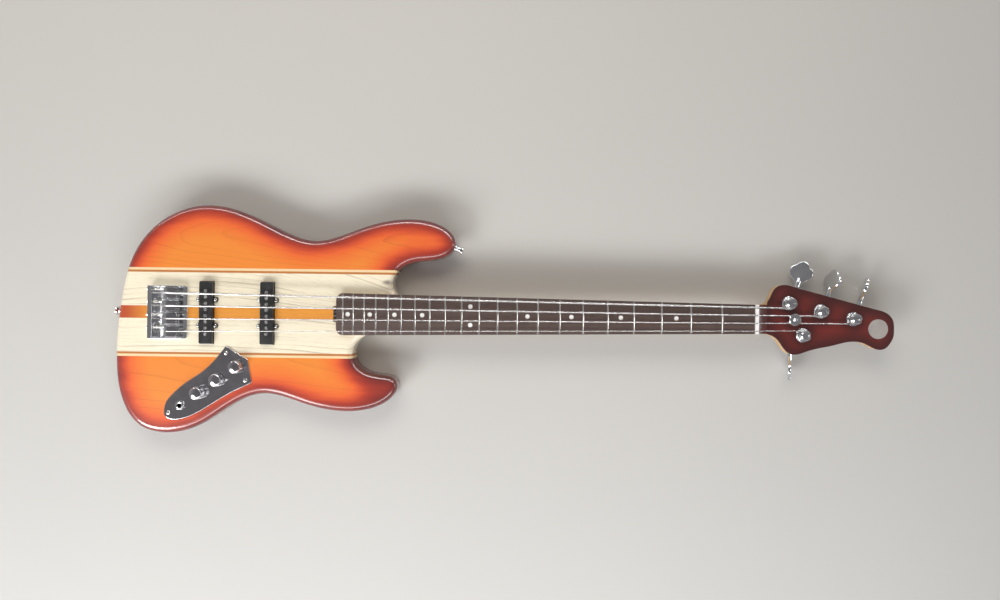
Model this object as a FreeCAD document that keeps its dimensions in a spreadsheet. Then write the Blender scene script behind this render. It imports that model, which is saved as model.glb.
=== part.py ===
import FreeCAD, Part
import Sketcher
import math
import os
from FreeCAD import Placement, Rotation, Vector

# Four-string electric bass lying on its back.
# X runs from the saddle line to the headstock, Y to the bass side, Z up from the back face.
doc = FreeCAD.newDocument("electric_bass")

FRET_COUNT = 21
DOT_FRETS = (3, 5, 7, 9, 15, 17, 19, 21)
DOUBLE_DOT_FRET = 12
GEAR_TEETH = 20
STRING_NAMES = ("e", "a", "d", "g")

SIZES = (
    ("scale_length", 863.6, "saddle line to the front of the nut"),
    ("string_spacing_nut", 11.5, "between strings at the nut"),
    ("string_spacing_bridge", 18.8, "between strings at the saddles"),
    ("string_gauge_e", 2.67, "diameter of the lowest string"),
    ("string_gauge_a", 2.16, "diameter"),
    ("string_gauge_d", 1.65, "diameter"),
    ("string_gauge_g", 1.14, "diameter of the highest string"),
    ("string_lift_nut", 1.7, "underside of a string over the fingerboard at the nut"),
    ("string_lift_saddle", 4.8, "underside of a string over the fingerboard level at the saddle"),
    ("string_seat_gap", 0.12, "between a string and what it lies on"),
    ("winding_gap", 0.5, "between the turns of a string on its post"),
    ("body_thickness", 44.0, "back to front"),
    ("edge_radius", 10.0, "rounding of the body edges"),
    ("tail_x", -83.4, "tail end"),
    ("tail_y", -62.0, "where the tail reaches furthest back"),
    ("lower_bout_x", -6.0, "widest place of the treble side"),
    ("lower_bout_y", -180.4, "reach of the treble side"),
    ("lower_waist_x", 139.0, "narrowest place of the treble side"),
    ("lower_waist_y", -120.2, "reach there"),
    ("lower_shoulder_x", 263.0, "crest of the short horn"),
    ("lower_shoulder_y", -145.5, "reach there"),
    ("lower_tip_x", 336.5, "tip of the short horn"),
    ("lower_tip_y", -106.0, "where the tip reaches furthest"),
    ("lower_cutaway_x", 269.5, "bottom of the treble cutaway"),
    ("lower_cutaway_y", -57.0, "middle of that cutaway"),
    ("upper_bout_x", 48.0, "widest place of the bass side"),
    ("upper_bout_y", 160.2, "reach of the bass side"),
    ("upper_waist_x", 212.0, "narrowest place of the bass side"),
    ("upper_waist_y", 109.1, "reach there"),
    ("upper_shoulder_x", 352.0, "crest of the long horn"),
    ("upper_shoulder_y", 143.0, "reach there"),
    ("upper_tip_x", 421.0, "tip of the long horn"),
    ("upper_tip_y", 105.0, "where the tip reaches furthest"),
    ("upper_cutaway_x", 328.0, "bottom of the bass cutaway"),
    ("upper_cutaway_y", 47.0, "middle of that cutaway"),
    ("belly_x", 205.0, "middle of the scoop in the back"),
    ("belly_y", 150.0, "middle of the scoop in the back"),
    ("belly_reach", 72.0, "radius of the scoop at the back face"),
    ("belly_depth", 20.0, "depth of the scoop at its middle"),
    ("centre_strip_width", 18.6, "stained strip on the centreline"),
    ("core_width", 118.4, "both core pieces and the centre strip together"),
    ("dark_strip_width", 3.2, "thickness of the dark line"),
    ("light_strip_width", 3.6, "thickness of the light line"),
    ("neck_pocket_depth", 16.0, "depth of the neck pocket"),
    ("neck_pocket_gap", 0.15, "between the heel and the walls of the pocket"),
    ("heel_thickness", 19.0, "heel under the fingerboard"),
    ("heel_length", 101.0, "heel from its end to where it starts to round"),
    ("heel_blend", 52.0, "length over which the heel turns into the shaft"),
    ("heel_corner", 10.0, "corner radius at the end of the neck"),
    ("heel_width", 62.4, "neck width at the end of the fingerboard"),
    ("nut_width", 43.2, "neck width at the nut"),
    ("shaft_depth_heel", 17.3, "depth of the shaft near the heel without fingerboard"),
    ("shaft_depth_nut", 14.5, "depth of the shaft at the nut without fingerboard"),
    ("fingerboard_thickness", 6.0, "at the centreline"),
    ("fingerboard_radius", 254.0, "crown of the fingerboard"),
    ("fingerboard_overhang", 9.7, "fingerboard beyond the last fret"),
    ("fret_width", 2.6, "crown width"),
    ("fret_height", 1.2, "crown height"),
    ("fret_tang_width", 0.5, "tang"),
    ("fret_tang_depth", 1.6, "tang"),
    ("fret_slot_gap", 0.04, "slot wider than the tang on each side"),
    ("fret_inset", 0.5, "fret end inside the edge of the fingerboard"),
    ("dot_radius", 3.3, "position markers"),
    ("dot_depth", 1.6, "position markers"),
    ("double_dot_spacing", 27.0, "between the two markers at the octave"),
    ("nut_thickness", 5.0, "along the neck"),
    ("nut_rise", 2.7, "nut over the fingerboard level"),
    ("head_drop", 10.0, "fingerboard level to the headstock face"),
    ("head_thickness", 13.0, "headstock under its face veneer"),
    ("veneer_thickness", 1.5, "face veneer"),
    ("scoop_start", 6.4, "from the nut front to the start of the slope behind the nut"),
    ("scoop_end", 21.4, "from the nut front to the end of the slope"),
    ("head_upper_shoulder_x", 43.4, "from the nut"),
    ("head_upper_shoulder_y", 51.5, "bass side shoulder"),
    ("head_edge_start_x", 70.4, "from the nut"),
    ("head_edge_start_y", 46.3, "start of the straight key edge"),
    ("head_edge_end_x", 177.4, "from the nut"),
    ("head_edge_end_y", 18.2, "end of the straight key edge"),
    ("head_tip_x", 210.4, "from the nut"),
    ("head_tip_y", -11.0, "where the tip reaches furthest"),
    ("head_lobe_x", 190.5, "from the nut"),
    ("head_lobe_y", -43.2, "lowest place of the tip"),
    ("head_hollow_x", 149.4, "from the nut"),
    ("head_hollow_y", -31.7, "hollow behind the tip"),
    ("head_lower_shoulder_x", 56.5, "from the nut"),
    ("head_lower_shoulder_y", -51.1, "treble side shoulder"),
    ("inlay_x", 186.5, "from the nut to the plain disc"),
    ("inlay_y", -12.4, "plain disc"),
    ("inlay_radius", 14.5, "plain disc"),
    ("inlay_depth", 0.6, "plain disc"),
    ("truss_rod_radius", 2.9, "rod under the fingerboard"),
    ("truss_rod_depth", 7.4, "rod axis under the fingerboard"),
    ("truss_channel_gap", 0.2, "between the rod and its channel"),
    ("truss_rod_stop", 18.0, "end of the channel before the nut"),
    ("wheel_radius", 6.5, "adjusting wheel of the rod"),
    ("wheel_width", 4.4, "adjusting wheel of the rod"),
    ("wheel_gap", 0.6, "between the wheel and what is beside it"),
    ("wheel_slot_width", 23.6, "access slot in the body"),
    ("wheel_slot_depth", 15.5, "access slot in the body"),
    ("neck_screw_inset", 9.5, "from the end of the neck"),
    ("neck_screw_run", 28.0, "between screws along the neck"),
    ("neck_screw_span", 30.0, "between screws across the neck"),
    ("neck_screw_radius", 2.4, "shank"),
    ("neck_screw_bite", 14.0, "shank inside the heel"),
    ("ferrule_radius", 7.2, "ferrule in the back"),
    ("ferrule_height", 3.5, "ferrule in the back"),
    ("ferrule_sink", 0.1, "ferrule below the back face"),
    ("wood_screw_gap", 0.05, "between a screw and the hole it holds in"),
    ("post_e_x", 53.5, "tuner post from the nut"),
    ("post_a_x", 100.9, "tuner post from the nut"),
    ("post_d_x", 149.5, "tuner post from the nut"),
    ("post_g_x", 74.7, "tuner post from the nut"),
    ("key_edge_turn", -17.0, "degrees, how the keys lean"),
    ("post_radius", 5.0, "shaft of the post in its bushing"),
    ("post_waist", 6.2, "radius under the windings"),
    ("post_collar", 7.2, "radius of the rims of the post"),
    ("post_rise", 13.6, "top of the post over the headstock face"),
    ("post_rim", 2.4, "height of the top rim"),
    ("post_foot", 1.4, "height of the lower rim"),
    ("post_slot_width", 3.2, "slot for the string end"),
    ("post_slot_depth", 9.0, "slot for the string end"),
    ("running_gap", 0.08, "between a turning part and its bearing"),
    ("bushing_radius", 7.25, "sleeve in the headstock"),
    ("bushing_flange", 10.3, "flange on the face"),
    ("bushing_flange_height", 2.0, "flange on the face"),
    ("bushing_length", 11.0, "sleeve in the headstock"),
    ("bushing_washer", 0.7, "height of the washer under the nut"),
    ("bushing_nut", 9.6, "corner radius of the nut"),
    ("bushing_foot_gap", 0.3, "between the bushing and the lower rim of the post"),
    ("tuner_plate_thickness", 1.6, "plate on the back of the headstock"),
    ("tuner_plate_inner", 16.6, "plate from the post to its inner end"),
    ("tuner_plate_outer", 17.0, "plate from the post to the key edge"),
    ("tuner_plate_side", 11.5, "plate from the post away from the worm"),
    ("worm_pitch", 2.4, "axial pitch"),
    ("worm_radius", 3.9, "pitch radius"),
    ("worm_length", 13.0, "threaded length"),
    ("worm_plate_gap", 0.5, "between the thread and the plate"),
    ("tooth_width", 0.95, "thickness of teeth and thread at the pitch line"),
    ("tooth_addendum", 0.62, "height above the pitch line"),
    ("tooth_dedendum", 0.86, "depth below the pitch line"),
    ("gear_width", 5.0, "face width"),
    ("gear_bore", 3.4, "end of the post in the gear"),
    ("ear_place", 9.6, "middle of a bearing ear from the post"),
    ("ear_thickness", 1.8, "bearing ear"),
    ("ear_half_width", 5.2, "bearing ear"),
    ("ear_drop", 9.6, "bearing ear under the plate"),
    ("key_shaft_radius", 2.5, "shaft through the ears"),
    ("key_shaft_reach", 22.0, "shaft end from the post"),
    ("key_stem_radius", 3.5, "stem of the key"),
    ("key_stem_end", 45.0, "stem end from the post"),
    ("key_root_place", 31.0, "start of the leaf from the post"),
    ("key_root_reach", 3.2, "half width of the leaf there"),
    ("key_lobe_place", 52.8, "widest place of the leaf from the post"),
    ("key_lobe_reach", 16.8, "half width of the leaf there"),
    ("key_notch_place", 62.4, "narrowing before the end lobe"),
    ("key_notch_reach", 10.2, "half width of the leaf there"),
    ("key_end_place", 69.8, "end of the leaf from the post"),
    ("key_thickness", 4.2, "leaf of the key"),
    ("key_edge", 1.3, "rounding of the leaf"),
    ("key_turn_e", -22.0, "degrees, how the key stands"),
    ("key_turn_a", -74.0, "degrees, how the key stands"),
    ("key_turn_d", 72.0, "degrees, how the key stands"),
    ("key_turn_g", 110.0, "degrees, how the key stands"),
    ("small_screw_radius", 1.4, "shank of the small wood screws"),
    ("small_screw_head", 2.5, "head radius of the small wood screws"),
    ("small_screw_rise", 1.5, "head height of the small wood screws"),
    ("small_screw_length", 9.0, "shank of the small wood screws"),
    ("retainer_x", 60.0, "string retainer from the nut"),
    ("retainer_radius", 8.9, "disc of the retainer"),
    ("retainer_stem", 3.7, "stem of the retainer"),
    ("retainer_gap", 5.6, "height of the stem"),
    ("retainer_disc", 2.6, "thickness of the disc"),
    ("pickup_bridge_x", 54.5, "middle of the bridge pickup"),
    ("pickup_neck_x", 144.2, "middle of the neck pickup"),
    ("pickup_length", 92.0, "across the strings"),
    ("pickup_width", 19.5, "along the strings"),
    ("pickup_height", 17.0, "overall height of the cover"),
    ("pickup_rise", 8.0, "top of the cover over the body"),
    ("pickup_wall", 1.6, "wall of the cover"),
    ("pickup_corner", 2.2, "corner radius of the cover"),
    ("pickup_edge", 1.0, "rounding of the top of the cover"),
    ("pickup_gap", 0.6, "between the cover and its cavity"),
    ("pickup_cavity_depth", 20.0, "cavity in the body"),
    ("ear_offset_x", 12.6, "ear screw from the middle of the pickup"),
    ("ear_offset_y", 19.3, "ear screw from the centreline"),
    ("ear_radius", 3.2, "rounding of an ear"),
    ("ear_rise", 3.4, "top of an ear over the body"),
    ("pole_radius", 2.4, "magnet poles"),
    ("pole_split", 8.8, "between the two poles of a string"),
    ("pole_rise", 0.5, "pole over the cover"),
    ("coil_gap", 0.3, "between the coil and the cover"),
    ("foam_gap", 0.2, "between the foam pad and the pickup"),
    ("pickup_screw_length", 24.0, "height screw under its head"),
    ("bridge_back", 28.6, "bridge behind the saddle line"),
    ("bridge_front", 26.0, "bridge before the saddle line"),
    ("bridge_width", 78.0, "across the strings"),
    ("bridge_floor", 4.0, "thickness of the base"),
    ("bridge_wall", 6.5, "thickness of the rear wall"),
    ("bridge_wall_height", 13.0, "rear wall over the body"),
    ("bridge_corner", 4.0, "corner radius of the base"),
    ("bridge_rail", 2.0, "thickness of the side rails"),
    ("bridge_rail_height", 5.5, "side rails over the base"),
    ("bridge_rib", 1.6, "thickness of the ribs between the saddles"),
    ("bridge_rib_height", 2.4, "ribs over the base"),
    ("bridge_rib_end", 15.5, "front end of the ribs from the saddle line"),
    ("string_hole_rise", 7.8, "string holes over the body"),
    ("string_hole_radius", 1.8, "string holes"),
    ("ball_recess_radius", 3.4, "recess of a string end"),
    ("ball_recess_depth", 5.0, "recess of a string end"),
    ("ball_radius", 2.2, "string end"),
    ("ball_length", 4.4, "string end"),
    ("saddle_width", 15.4, "across the strings"),
    ("saddle_half_length", 11.0, "from the saddle line to the rear end"),
    ("saddle_nose_length", 17.0, "from the saddle line to the front end"),
    ("saddle_height", 8.0, "bottom to crest"),
    ("saddle_tail_height", 2.9, "height at the rear end"),
    ("saddle_nose_height", 5.6, "height at the front end"),
    ("saddle_screw_radius", 1.5, "height screws"),
    ("saddle_screw_x", 13.6, "height screws from the saddle line"),
    ("saddle_screw_y", 5.6, "height screws from the string"),
    ("saddle_floor_gap", 0.05, "between the height screws and the base"),
    ("intonation_offset", 5.8, "screw beside its string"),
    ("intonation_rise", 9.0, "screw axis over the body"),
    ("intonation_radius", 1.25, "screw"),
    ("intonation_head", 2.6, "screw head"),
    ("intonation_head_length", 2.4, "screw head"),
    ("intonation_reach", 0.8, "screw tip behind the saddle line"),
    ("intonation_gap", 0.08, "between the screw and its holes"),
    ("spring_radius", 2.1, "mean radius of a spring"),
    ("spring_wire", 0.35, "wire radius"),
    ("spring_end_gap", 0.15, "between a spring and what it presses on"),
    ("bridge_screw_radius", 2.0, "shank"),
    ("bridge_screw_head", 4.0, "head"),
    ("bridge_screw_x", 20.0, "front screws from the saddle line"),
    ("bridge_rear_x", 16.0, "rear screws behind the saddle line"),
    ("bridge_screw_y", 28.0, "front screws from the centreline"),
    ("bridge_screw_length", 22.0, "shank in the body"),
    ("plate_thickness", 2.0, "control plate"),
    ("plate_corner_x", 83.0, "neck pickup end of the control plate"),
    ("plate_corner_y", -49.2, "neck pickup end of the control plate"),
    ("plate_side_x", 115.4, "second corner"),
    ("plate_side_y", -69.2, "second corner"),
    ("plate_point_x", 121.9, "third corner"),
    ("plate_point_y", -103.6, "third corner"),
    ("plate_tail_x", -7.8, "tail end of the plate"),
    ("plate_tail_y", -147.0, "tail end of the plate"),
    ("jack_x", 16.3, "output jack"),
    ("jack_y", -137.8, "output jack"),
    ("knob_step_x", 28.0, "from control to control"),
    ("knob_step_y", 19.5, "from control to control"),
    ("cavity_half_width", 14.6, "control cavity"),
    ("cavity_depth", 37.0, "control cavity"),
    ("pot_radius", 12.0, "case of a control"),
    ("pot_height", 10.0, "case of a control"),
    ("pot_bushing", 4.7, "threaded bushing"),
    ("pot_bushing_rise", 5.0, "bushing over the plate"),
    ("pot_nut_radius", 7.0, "nut on the plate"),
    ("pot_nut_height", 2.4, "nut on the plate"),
    ("plate_hole_gap", 0.1, "between a bushing and the plate"),
    ("knob_radius", 9.3, "knob"),
    ("knob_height", 16.5, "knob"),
    ("knob_gap", 1.0, "between a knob and the plate"),
    ("knob_wall", 1.7, "wall of the skirt"),
    ("knob_skirt", 6.2, "height of the hollow"),
    ("knob_edge", 2.2, "rounding of the top"),
    ("pot_shaft_radius", 3.0, "shaft in the knob"),
    ("jack_bore", 3.25, "radius of the plug hole"),
    ("jack_depth", 12.0, "bushing of the jack under the plate"),
    ("jack_nut_radius", 6.7, "nut of the jack"),
    ("plate_screw_radius", 1.5, "control plate screws"),
    ("plate_screw_head", 3.0, "control plate screws"),
    ("strap_flange", 6.4, "strap button"),
    ("strap_neck", 3.8, "strap button"),
    ("strap_base", 5.2, "strap button"),
    ("strap_length", 12.0, "strap button"),
    ("strap_screw_radius", 2.0, "screw of a strap button"),
    ("strap_screw_length", 26.0, "screw in the wood"),
    ("strap_seat", 0.1, "button off the curved edge"),
    ("channel_radius", 3.2, "drilled channels for the leads"),
    ("lead_radius", 1.2, "leads"),
)

sheet = doc.addObject("Spreadsheet::Sheet", "sizes")
for row, (alias, value, note) in enumerate(SIZES, start=1):
    sheet.set("A%d" % row, note)
    sheet.set("B%d" % row, str(value))
    sheet.setAlias("B%d" % row, alias)
doc.recompute()


class Size:
    # A number together with its formula in the sizes sheet
    def __init__(self, value, formula):
        self.value = float(value)
        self.formula = formula

    def __float__(self):
        return self.value

    def joined(self, sign, other, flipped=False):
        other_value = float(other)
        other_text = other.formula if isinstance(other, Size) else repr(other_value)
        left_value, right_value = (other_value, self.value) if flipped else (self.value, other_value)
        left_text, right_text = (other_text, self.formula) if flipped else (self.formula, other_text)
        results = {"+": left_value + right_value, "-": left_value - right_value,
                   "*": left_value * right_value}
        value = left_value / right_value if sign == "/" else results[sign]
        return Size(value, "(%s %s %s)" % (left_text, sign, right_text))

    def __add__(self, other):
        return self.joined("+", other)

    def __radd__(self, other):
        return self.joined("+", other, True)

    def __sub__(self, other):
        return self.joined("-", other)

    def __rsub__(self, other):
        return self.joined("-", other, True)

    def __mul__(self, other):
        return self.joined("*", other)

    def __rmul__(self, other):
        return self.joined("*", other, True)

    def __truediv__(self, other):
        return self.joined("/", other)

    def __neg__(self):
        return Size(-self.value, "(0 - %s)" % self.formula)


class SizeReader:
    def __getattr__(self, alias):
        return Size(sheet.get(alias), "sizes." + alias)


size = SizeReader()
nodes = {}


def named(value):
    return float(sheet.get(value))


def node(label, piece):
    piece.Label = label
    nodes[label] = piece
    return piece


def bind(piece, prop, value):
    if isinstance(value, Size):
        piece.setExpression(prop, value.formula)


def vec(x, y, z=0.0):
    return Vector(float(x), float(y), float(z))


def place(piece, x, y, z, rotation=None):
    piece.Placement = Placement(vec(x, y, z), rotation or Rotation())
    for axis, value in (("x", x), ("y", y), ("z", z)):
        bind(piece, "Placement.Base." + axis, value)
    return piece


def box(name, low, high):
    piece = doc.addObject("Part::Box", name)
    for prop, start, end in zip(("Length", "Width", "Height"), low, high):
        extent = end - start
        setattr(piece, prop, float(extent))
        bind(piece, prop, extent)
    return place(piece, *low)


def rod(name, radius, length, x, y, z, direction=(0, 0, 1)):
    piece = doc.addObject("Part::Cylinder", name)
    piece.Radius = float(radius)
    piece.Height = float(length)
    bind(piece, "Radius", radius)
    bind(piece, "Height", length)
    return place(piece, x, y, z, Rotation(Vector(0, 0, 1), Vector(*direction)))


def group(name, members):
    piece = doc.addObject("Part::Compound", name)
    piece.Links = list(members)
    return piece


def copies(name, source, placements):
    members = []
    for index, where in enumerate(placements):
        link = doc.addObject("App::Link", "%s_%d" % (name, index + 1))
        link.LinkedObject = source
        link.Placement = where
        members.append(link)
    return group(name, members)


def union(name, members):
    piece = doc.addObject("Part::MultiFuse", name)
    piece.Shapes = list(members)
    return piece


def cut(name, base, tool):
    piece = doc.addObject("Part::Cut", name)
    piece.Base = base
    piece.Tool = tool
    return piece


def common(name, base, tool):
    piece = doc.addObject("Part::Common", name)
    piece.Base = base
    piece.Tool = tool
    return piece


def formed(name, shape, where=None):
    piece = doc.addObject("Part::Feature", name)
    piece.Shape = shape
    piece.Placement = where or Placement()
    return piece


def new_body(name):
    return doc.addObject("PartDesign::Body", name)


def new_sketch(body, plane="XY_Plane", offset=0.0):
    sketch = body.newObject("Sketcher::SketchObject", body.Name + "_sketch")
    support = [feature for feature in body.Origin.OriginFeatures if feature.Role == plane][0]
    sketch.AttachmentSupport = [(support, "")]
    sketch.MapMode = "FlatFace"
    sketch.AttachmentOffset = Placement(vec(0, 0, offset), Rotation())
    bind(sketch, "AttachmentOffset.Base.z", offset)
    return sketch


def polygon(sketch, points):
    first = sketch.GeometryCount
    count = len(points)
    corners = [vec(x, y) for x, y in points]
    for index in range(count):
        sketch.addGeometry(Part.LineSegment(corners[index], corners[(index + 1) % count]), False)
    for index in range(count):
        following = first + (index + 1) % count
        sketch.addConstraint(Sketcher.Constraint("Coincident", first + index, 2, following, 1))
    for index, point in enumerate(points):
        for kind, value in zip(("DistanceX", "DistanceY"), point):
            rule = Sketcher.Constraint(kind, -1, 1, first + index, 1, float(value))
            number = sketch.addConstraint(rule)
            bind(sketch, "Constraints[%d]" % number, value)


def circles(sketch, centres, radius):
    for x, y in centres:
        index = sketch.addGeometry(Part.Circle(vec(x, y), Vector(0, 0, 1), float(radius)), False)
        for kind, value in (("DistanceX", x), ("DistanceY", y)):
            number = sketch.addConstraint(Sketcher.Constraint(kind, -1, 1, index, 3, float(value)))
            bind(sketch, "Constraints[%d]" % number, value)
        number = sketch.addConstraint(Sketcher.Constraint("Radius", index, float(radius)))
        bind(sketch, "Constraints[%d]" % number, radius)


def stadium(sketch, start, end, radius):
    # Two lines and two half circles round the line from start to end
    along = (end - start).normalize()
    side = Vector(-along.y, along.x, 0) * float(radius)
    reach = along * float(radius)
    first = sketch.addGeometry(Part.LineSegment(start - side, end - side), False)
    sketch.addGeometry(Part.Arc(end - side, end + reach, end + side), False)
    sketch.addGeometry(Part.LineSegment(end + side, start + side), False)
    sketch.addGeometry(Part.Arc(start + side, start - reach, start - side), False)
    return first


def pad(body, sketch, length):
    feature = body.newObject("PartDesign::Pad", body.Name + "_pad")
    feature.Profile = sketch
    feature.Length = float(length)
    bind(feature, "Length", length)
    body.Tip = feature
    return feature


def pocket(body, sketch, depth):
    feature = body.newObject("PartDesign::Pocket", body.Name + "_pocket")
    feature.Profile = sketch
    feature.Length = float(depth)
    bind(feature, "Length", depth)
    body.Tip = feature
    return feature


def rounded(body, base, radius, chooser):
    doc.recompute()
    edges = ["Edge%d" % (index + 1) for index, edge in enumerate(base.Shape.Edges) if chooser(edge)]
    feature = body.newObject("PartDesign::Fillet", body.Name + "_fillet")
    feature.Base = (base, edges)
    feature.Radius = float(radius)
    bind(feature, "Radius", radius)
    body.Tip = feature
    return feature


def turned(name, profile):
    # A turned piece: radius and height of each corner of its half section
    body = new_body(name)
    sketch = new_sketch(body, "XZ_Plane")
    polygon(sketch, profile)
    feature = body.newObject("PartDesign::Revolution", name + "_turn")
    feature.Profile = sketch
    feature.ReferenceAxis = (sketch, ["V_Axis"])
    feature.Angle = 360
    body.Tip = feature
    return body


def is_upright(edge):
    low, high = edge.BoundBox, edge.BoundBox
    return high.XLength < 0.001 and low.YLength < 0.001 and low.ZLength > 0.5


def between(start, end, share_x, share_y):
    return (start[0] + share_x * (end[0] - start[0]), start[1] + share_y * (end[1] - start[1]))


def spot(prefix):
    return (named(prefix + "_x"), named(prefix + "_y"))


# Heights over the back face
front = size.body_thickness
pocket_floor = front - size.neck_pocket_depth
neck_top = pocket_floor + size.heel_thickness
board_top = neck_top + size.fingerboard_thickness
face_top = board_top - size.head_drop
slab_top = face_top - size.veneer_thickness
head_back = slab_top - size.head_thickness
nut_x = size.scale_length
board_end = nut_x * (2.0 ** (-FRET_COUNT / 12.0)) - size.fingerboard_overhang


def fret_x(number):
    return float(nut_x) * 2.0 ** (-number / 12.0)


def half_width(x):
    share = (float(nut_x) - x) / (float(nut_x) - float(board_end))
    return 0.5 * (named("nut_width") + share * (named("heel_width") - named("nut_width")))


def crown_drop(y):
    return y * y / (2.0 * named("fingerboard_radius"))


# Strings, their lines and the tuner posts
class StringLine:
    def __init__(self, index):
        self.name = STRING_NAMES[index]
        step = 1.5 - index
        self.radius = 0.5 * named("string_gauge_" + self.name)
        self.bridge_y = step * named("string_spacing_bridge")
        self.nut_y = step * named("string_spacing_nut")
        self.saddle_z = (float(board_top) + named("string_lift_saddle")
                         - crown_drop(self.bridge_y) + self.radius)
        self.nut_z = float(board_top) + named("string_lift_nut") - crown_drop(self.nut_y) + self.radius
        self.slope = (self.nut_y - self.bridge_y) / float(nut_x)
        self.side = -1.0 if self.name == "g" else 1.0
        self.wind_radius = named("post_waist") + self.radius + named("string_seat_gap")
        foot_x = float(nut_x) + named("post_%s_x" % self.name)
        self.foot = Vector(foot_x, self.line_y(foot_x), 0)
        self.along = Vector(1.0, self.slope, 0).normalize()
        normal = Vector(-self.along.y, self.along.x, 0)
        self.post = self.foot + normal * (self.side * self.wind_radius)

    def line_y(self, x):
        return self.bridge_y + self.slope * x


strings = [StringLine(index) for index in range(len(STRING_NAMES))]


# Body: one blank in outline, hollowed, then divided into its laminations
def span(points, start_way, end_way):
    # A smooth curve through its points with a set direction at both ends
    spots = [vec(x, y) for x, y in points]
    marks = [0.0]
    for start, end in zip(spots, spots[1:]):
        marks.append(marks[-1] + (end - start).Length)
    inner = len(spots) - 2
    ways = [vec(*start_way)] + [Vector()] * inner + [vec(*end_way)]
    flags = [True] + [False] * inner + [True]
    curve = Part.BSplineCurve()
    curve.interpolate(spots, Parameters=marks, Tangents=ways, TangentFlags=flags, Scale=False)
    return curve


def body_outline():
    cut_low, tip_low, crest_low = spot("lower_cutaway"), spot("lower_tip"), spot("lower_shoulder")
    waist_low, bout_low, tail = spot("lower_waist"), spot("lower_bout"), spot("tail")
    bout_up, waist_up, crest_up = spot("upper_bout"), spot("upper_waist"), spot("upper_shoulder")
    tip_up, cut_up = spot("upper_tip"), spot("upper_cutaway")
    heel_up = (cut_up[0] + 9.0, half_width(cut_up[0]) - 2.0)
    heel_low = (cut_low[0] + 30.5, -half_width(cut_low[0]) + 3.0)
    horn_low = [cut_low]
    horn_low += [between(cut_low, tip_low, *share) for share in ((0.09, 0.36), (0.35, 0.6),
                                                                 (0.72, 0.69), (0.91, 0.77))]
    horn_low += [tip_low, between(tip_low, crest_low, 0.07, 0.34),
                 between(tip_low, crest_low, 0.44, 0.82)]
    horn_low += [crest_low, between(crest_low, waist_low, 0.51, 0.4), waist_low]
    tail_low = [waist_low, between(waist_low, bout_low, 0.38, 0.35),
                between(waist_low, bout_low, 0.68, 0.81)]
    tail_low += [bout_low, between(bout_low, tail, 0.535, 0.09), between(bout_low, tail, 0.868, 0.4), tail]
    tail_up = [tail]
    tail_up += [between(tail, bout_up, *share) for share in ((0.058, 0.4), (0.184, 0.667), (0.45, 0.872))]
    tail_up += [bout_up, between(bout_up, waist_up, 0.43, 0.31), between(bout_up, waist_up, 0.71, 0.74),
                waist_up]
    horn_up = [waist_up, between(waist_up, crest_up, 0.48, 0.57), crest_up]
    horn_up += [between(crest_up, tip_up, 0.64, 0.205), between(crest_up, tip_up, 0.9, 0.53), tip_up]
    horn_up += [between(tip_up, cut_up, *share) for share in ((0.16, 0.3), (0.645, 0.45),
                                                              (0.89, 0.64))] + [cut_up]
    heel = [cut_up, between(cut_up, heel_up, 0.28, 0.52), heel_up]
    heel += [between(heel_up, heel_low, *share) for share in ((-0.13, 0.32), (0.03, 0.64), (0.46, 0.86))]
    heel += [heel_low, between(heel_low, cut_low, 0.49, 0.19), cut_low]
    to_tail, to_head, up, down = (-1, 0), (1, 0), (0, 1), (0, -1)
    return [span(horn_low, down, to_tail), span(tail_low, to_tail, up), span(tail_up, up, to_head),
            span(horn_up, to_head, down), span(heel, down, down)]


outline = body_outline()


def outline_at(guess):
    # Point on the outline nearest a guess, and the way out of the body there
    def distance(curve):
        return (curve.value(curve.parameter(guess)) - guess).Length

    curve = min(outline, key=distance)
    mark = curve.parameter(guess)
    way = curve.tangent(mark)[0]
    return curve.value(mark), Vector(-way.y, way.x, 0).normalize()


strap_spots = [outline_at(Vector(named("tail_x"), 0, 0)),
               outline_at(Vector(named("upper_tip_x"), named("upper_tip_y") - 4.0, 0))]

blank = new_body("body_blank")
blank_sketch = new_sketch(blank)
for curve in outline:
    blank_sketch.addGeometry(curve, False)
blank_pad = pad(blank, blank_sketch, front)
rounded(blank, blank_pad, size.edge_radius, lambda edge: edge.BoundBox.ZLength < 0.001)

gap = size.neck_pocket_gap
pocket_sketch = new_sketch(blank, "XY_Plane", front)
pocket_far = size.upper_cutaway_x + 60.0
far_half = half_width(float(pocket_far)) + float(gap)
near_half = 0.5 * size.heel_width + gap
polygon(pocket_sketch, [(board_end - gap, -near_half), (pocket_far, -far_half),
                        (pocket_far, far_half), (board_end - gap, near_half)])
pocket(blank, pocket_sketch, size.neck_pocket_depth)

wheel_low = board_end - gap - size.wheel_width - 2.0 * size.wheel_gap
wheel_sketch = new_sketch(blank, "XY_Plane", front)
polygon(wheel_sketch, [(wheel_low, -0.5 * size.wheel_slot_width),
                       (board_end + 1.0, -0.5 * size.wheel_slot_width),
                       (board_end + 1.0, 0.5 * size.wheel_slot_width),
                       (wheel_low, 0.5 * size.wheel_slot_width)])
pocket(blank, wheel_sketch, size.wheel_slot_depth)

for centre in (size.pickup_bridge_x, size.pickup_neck_x):
    reach_x = 0.5 * size.pickup_width + size.pickup_gap
    reach_y = 0.5 * size.pickup_length + size.pickup_gap
    cavity_sketch = new_sketch(blank, "XY_Plane", front)
    polygon(cavity_sketch, [(centre - reach_x, -reach_y), (centre + reach_x, -reach_y),
                            (centre + reach_x, reach_y), (centre - reach_x, reach_y)])
    pocket(blank, cavity_sketch, size.pickup_cavity_depth)
    lobe_sketch = new_sketch(blank, "XY_Plane", front)
    for sign in (-1.0, 1.0):
        level = sign * named("ear_offset_y")
        stadium(lobe_sketch, vec(centre - size.ear_offset_x, level),
                vec(centre + size.ear_offset_x, level), size.ear_radius + size.pickup_gap)
    pocket(blank, lobe_sketch, size.pickup_height - size.pickup_rise + 3.0)

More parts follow.
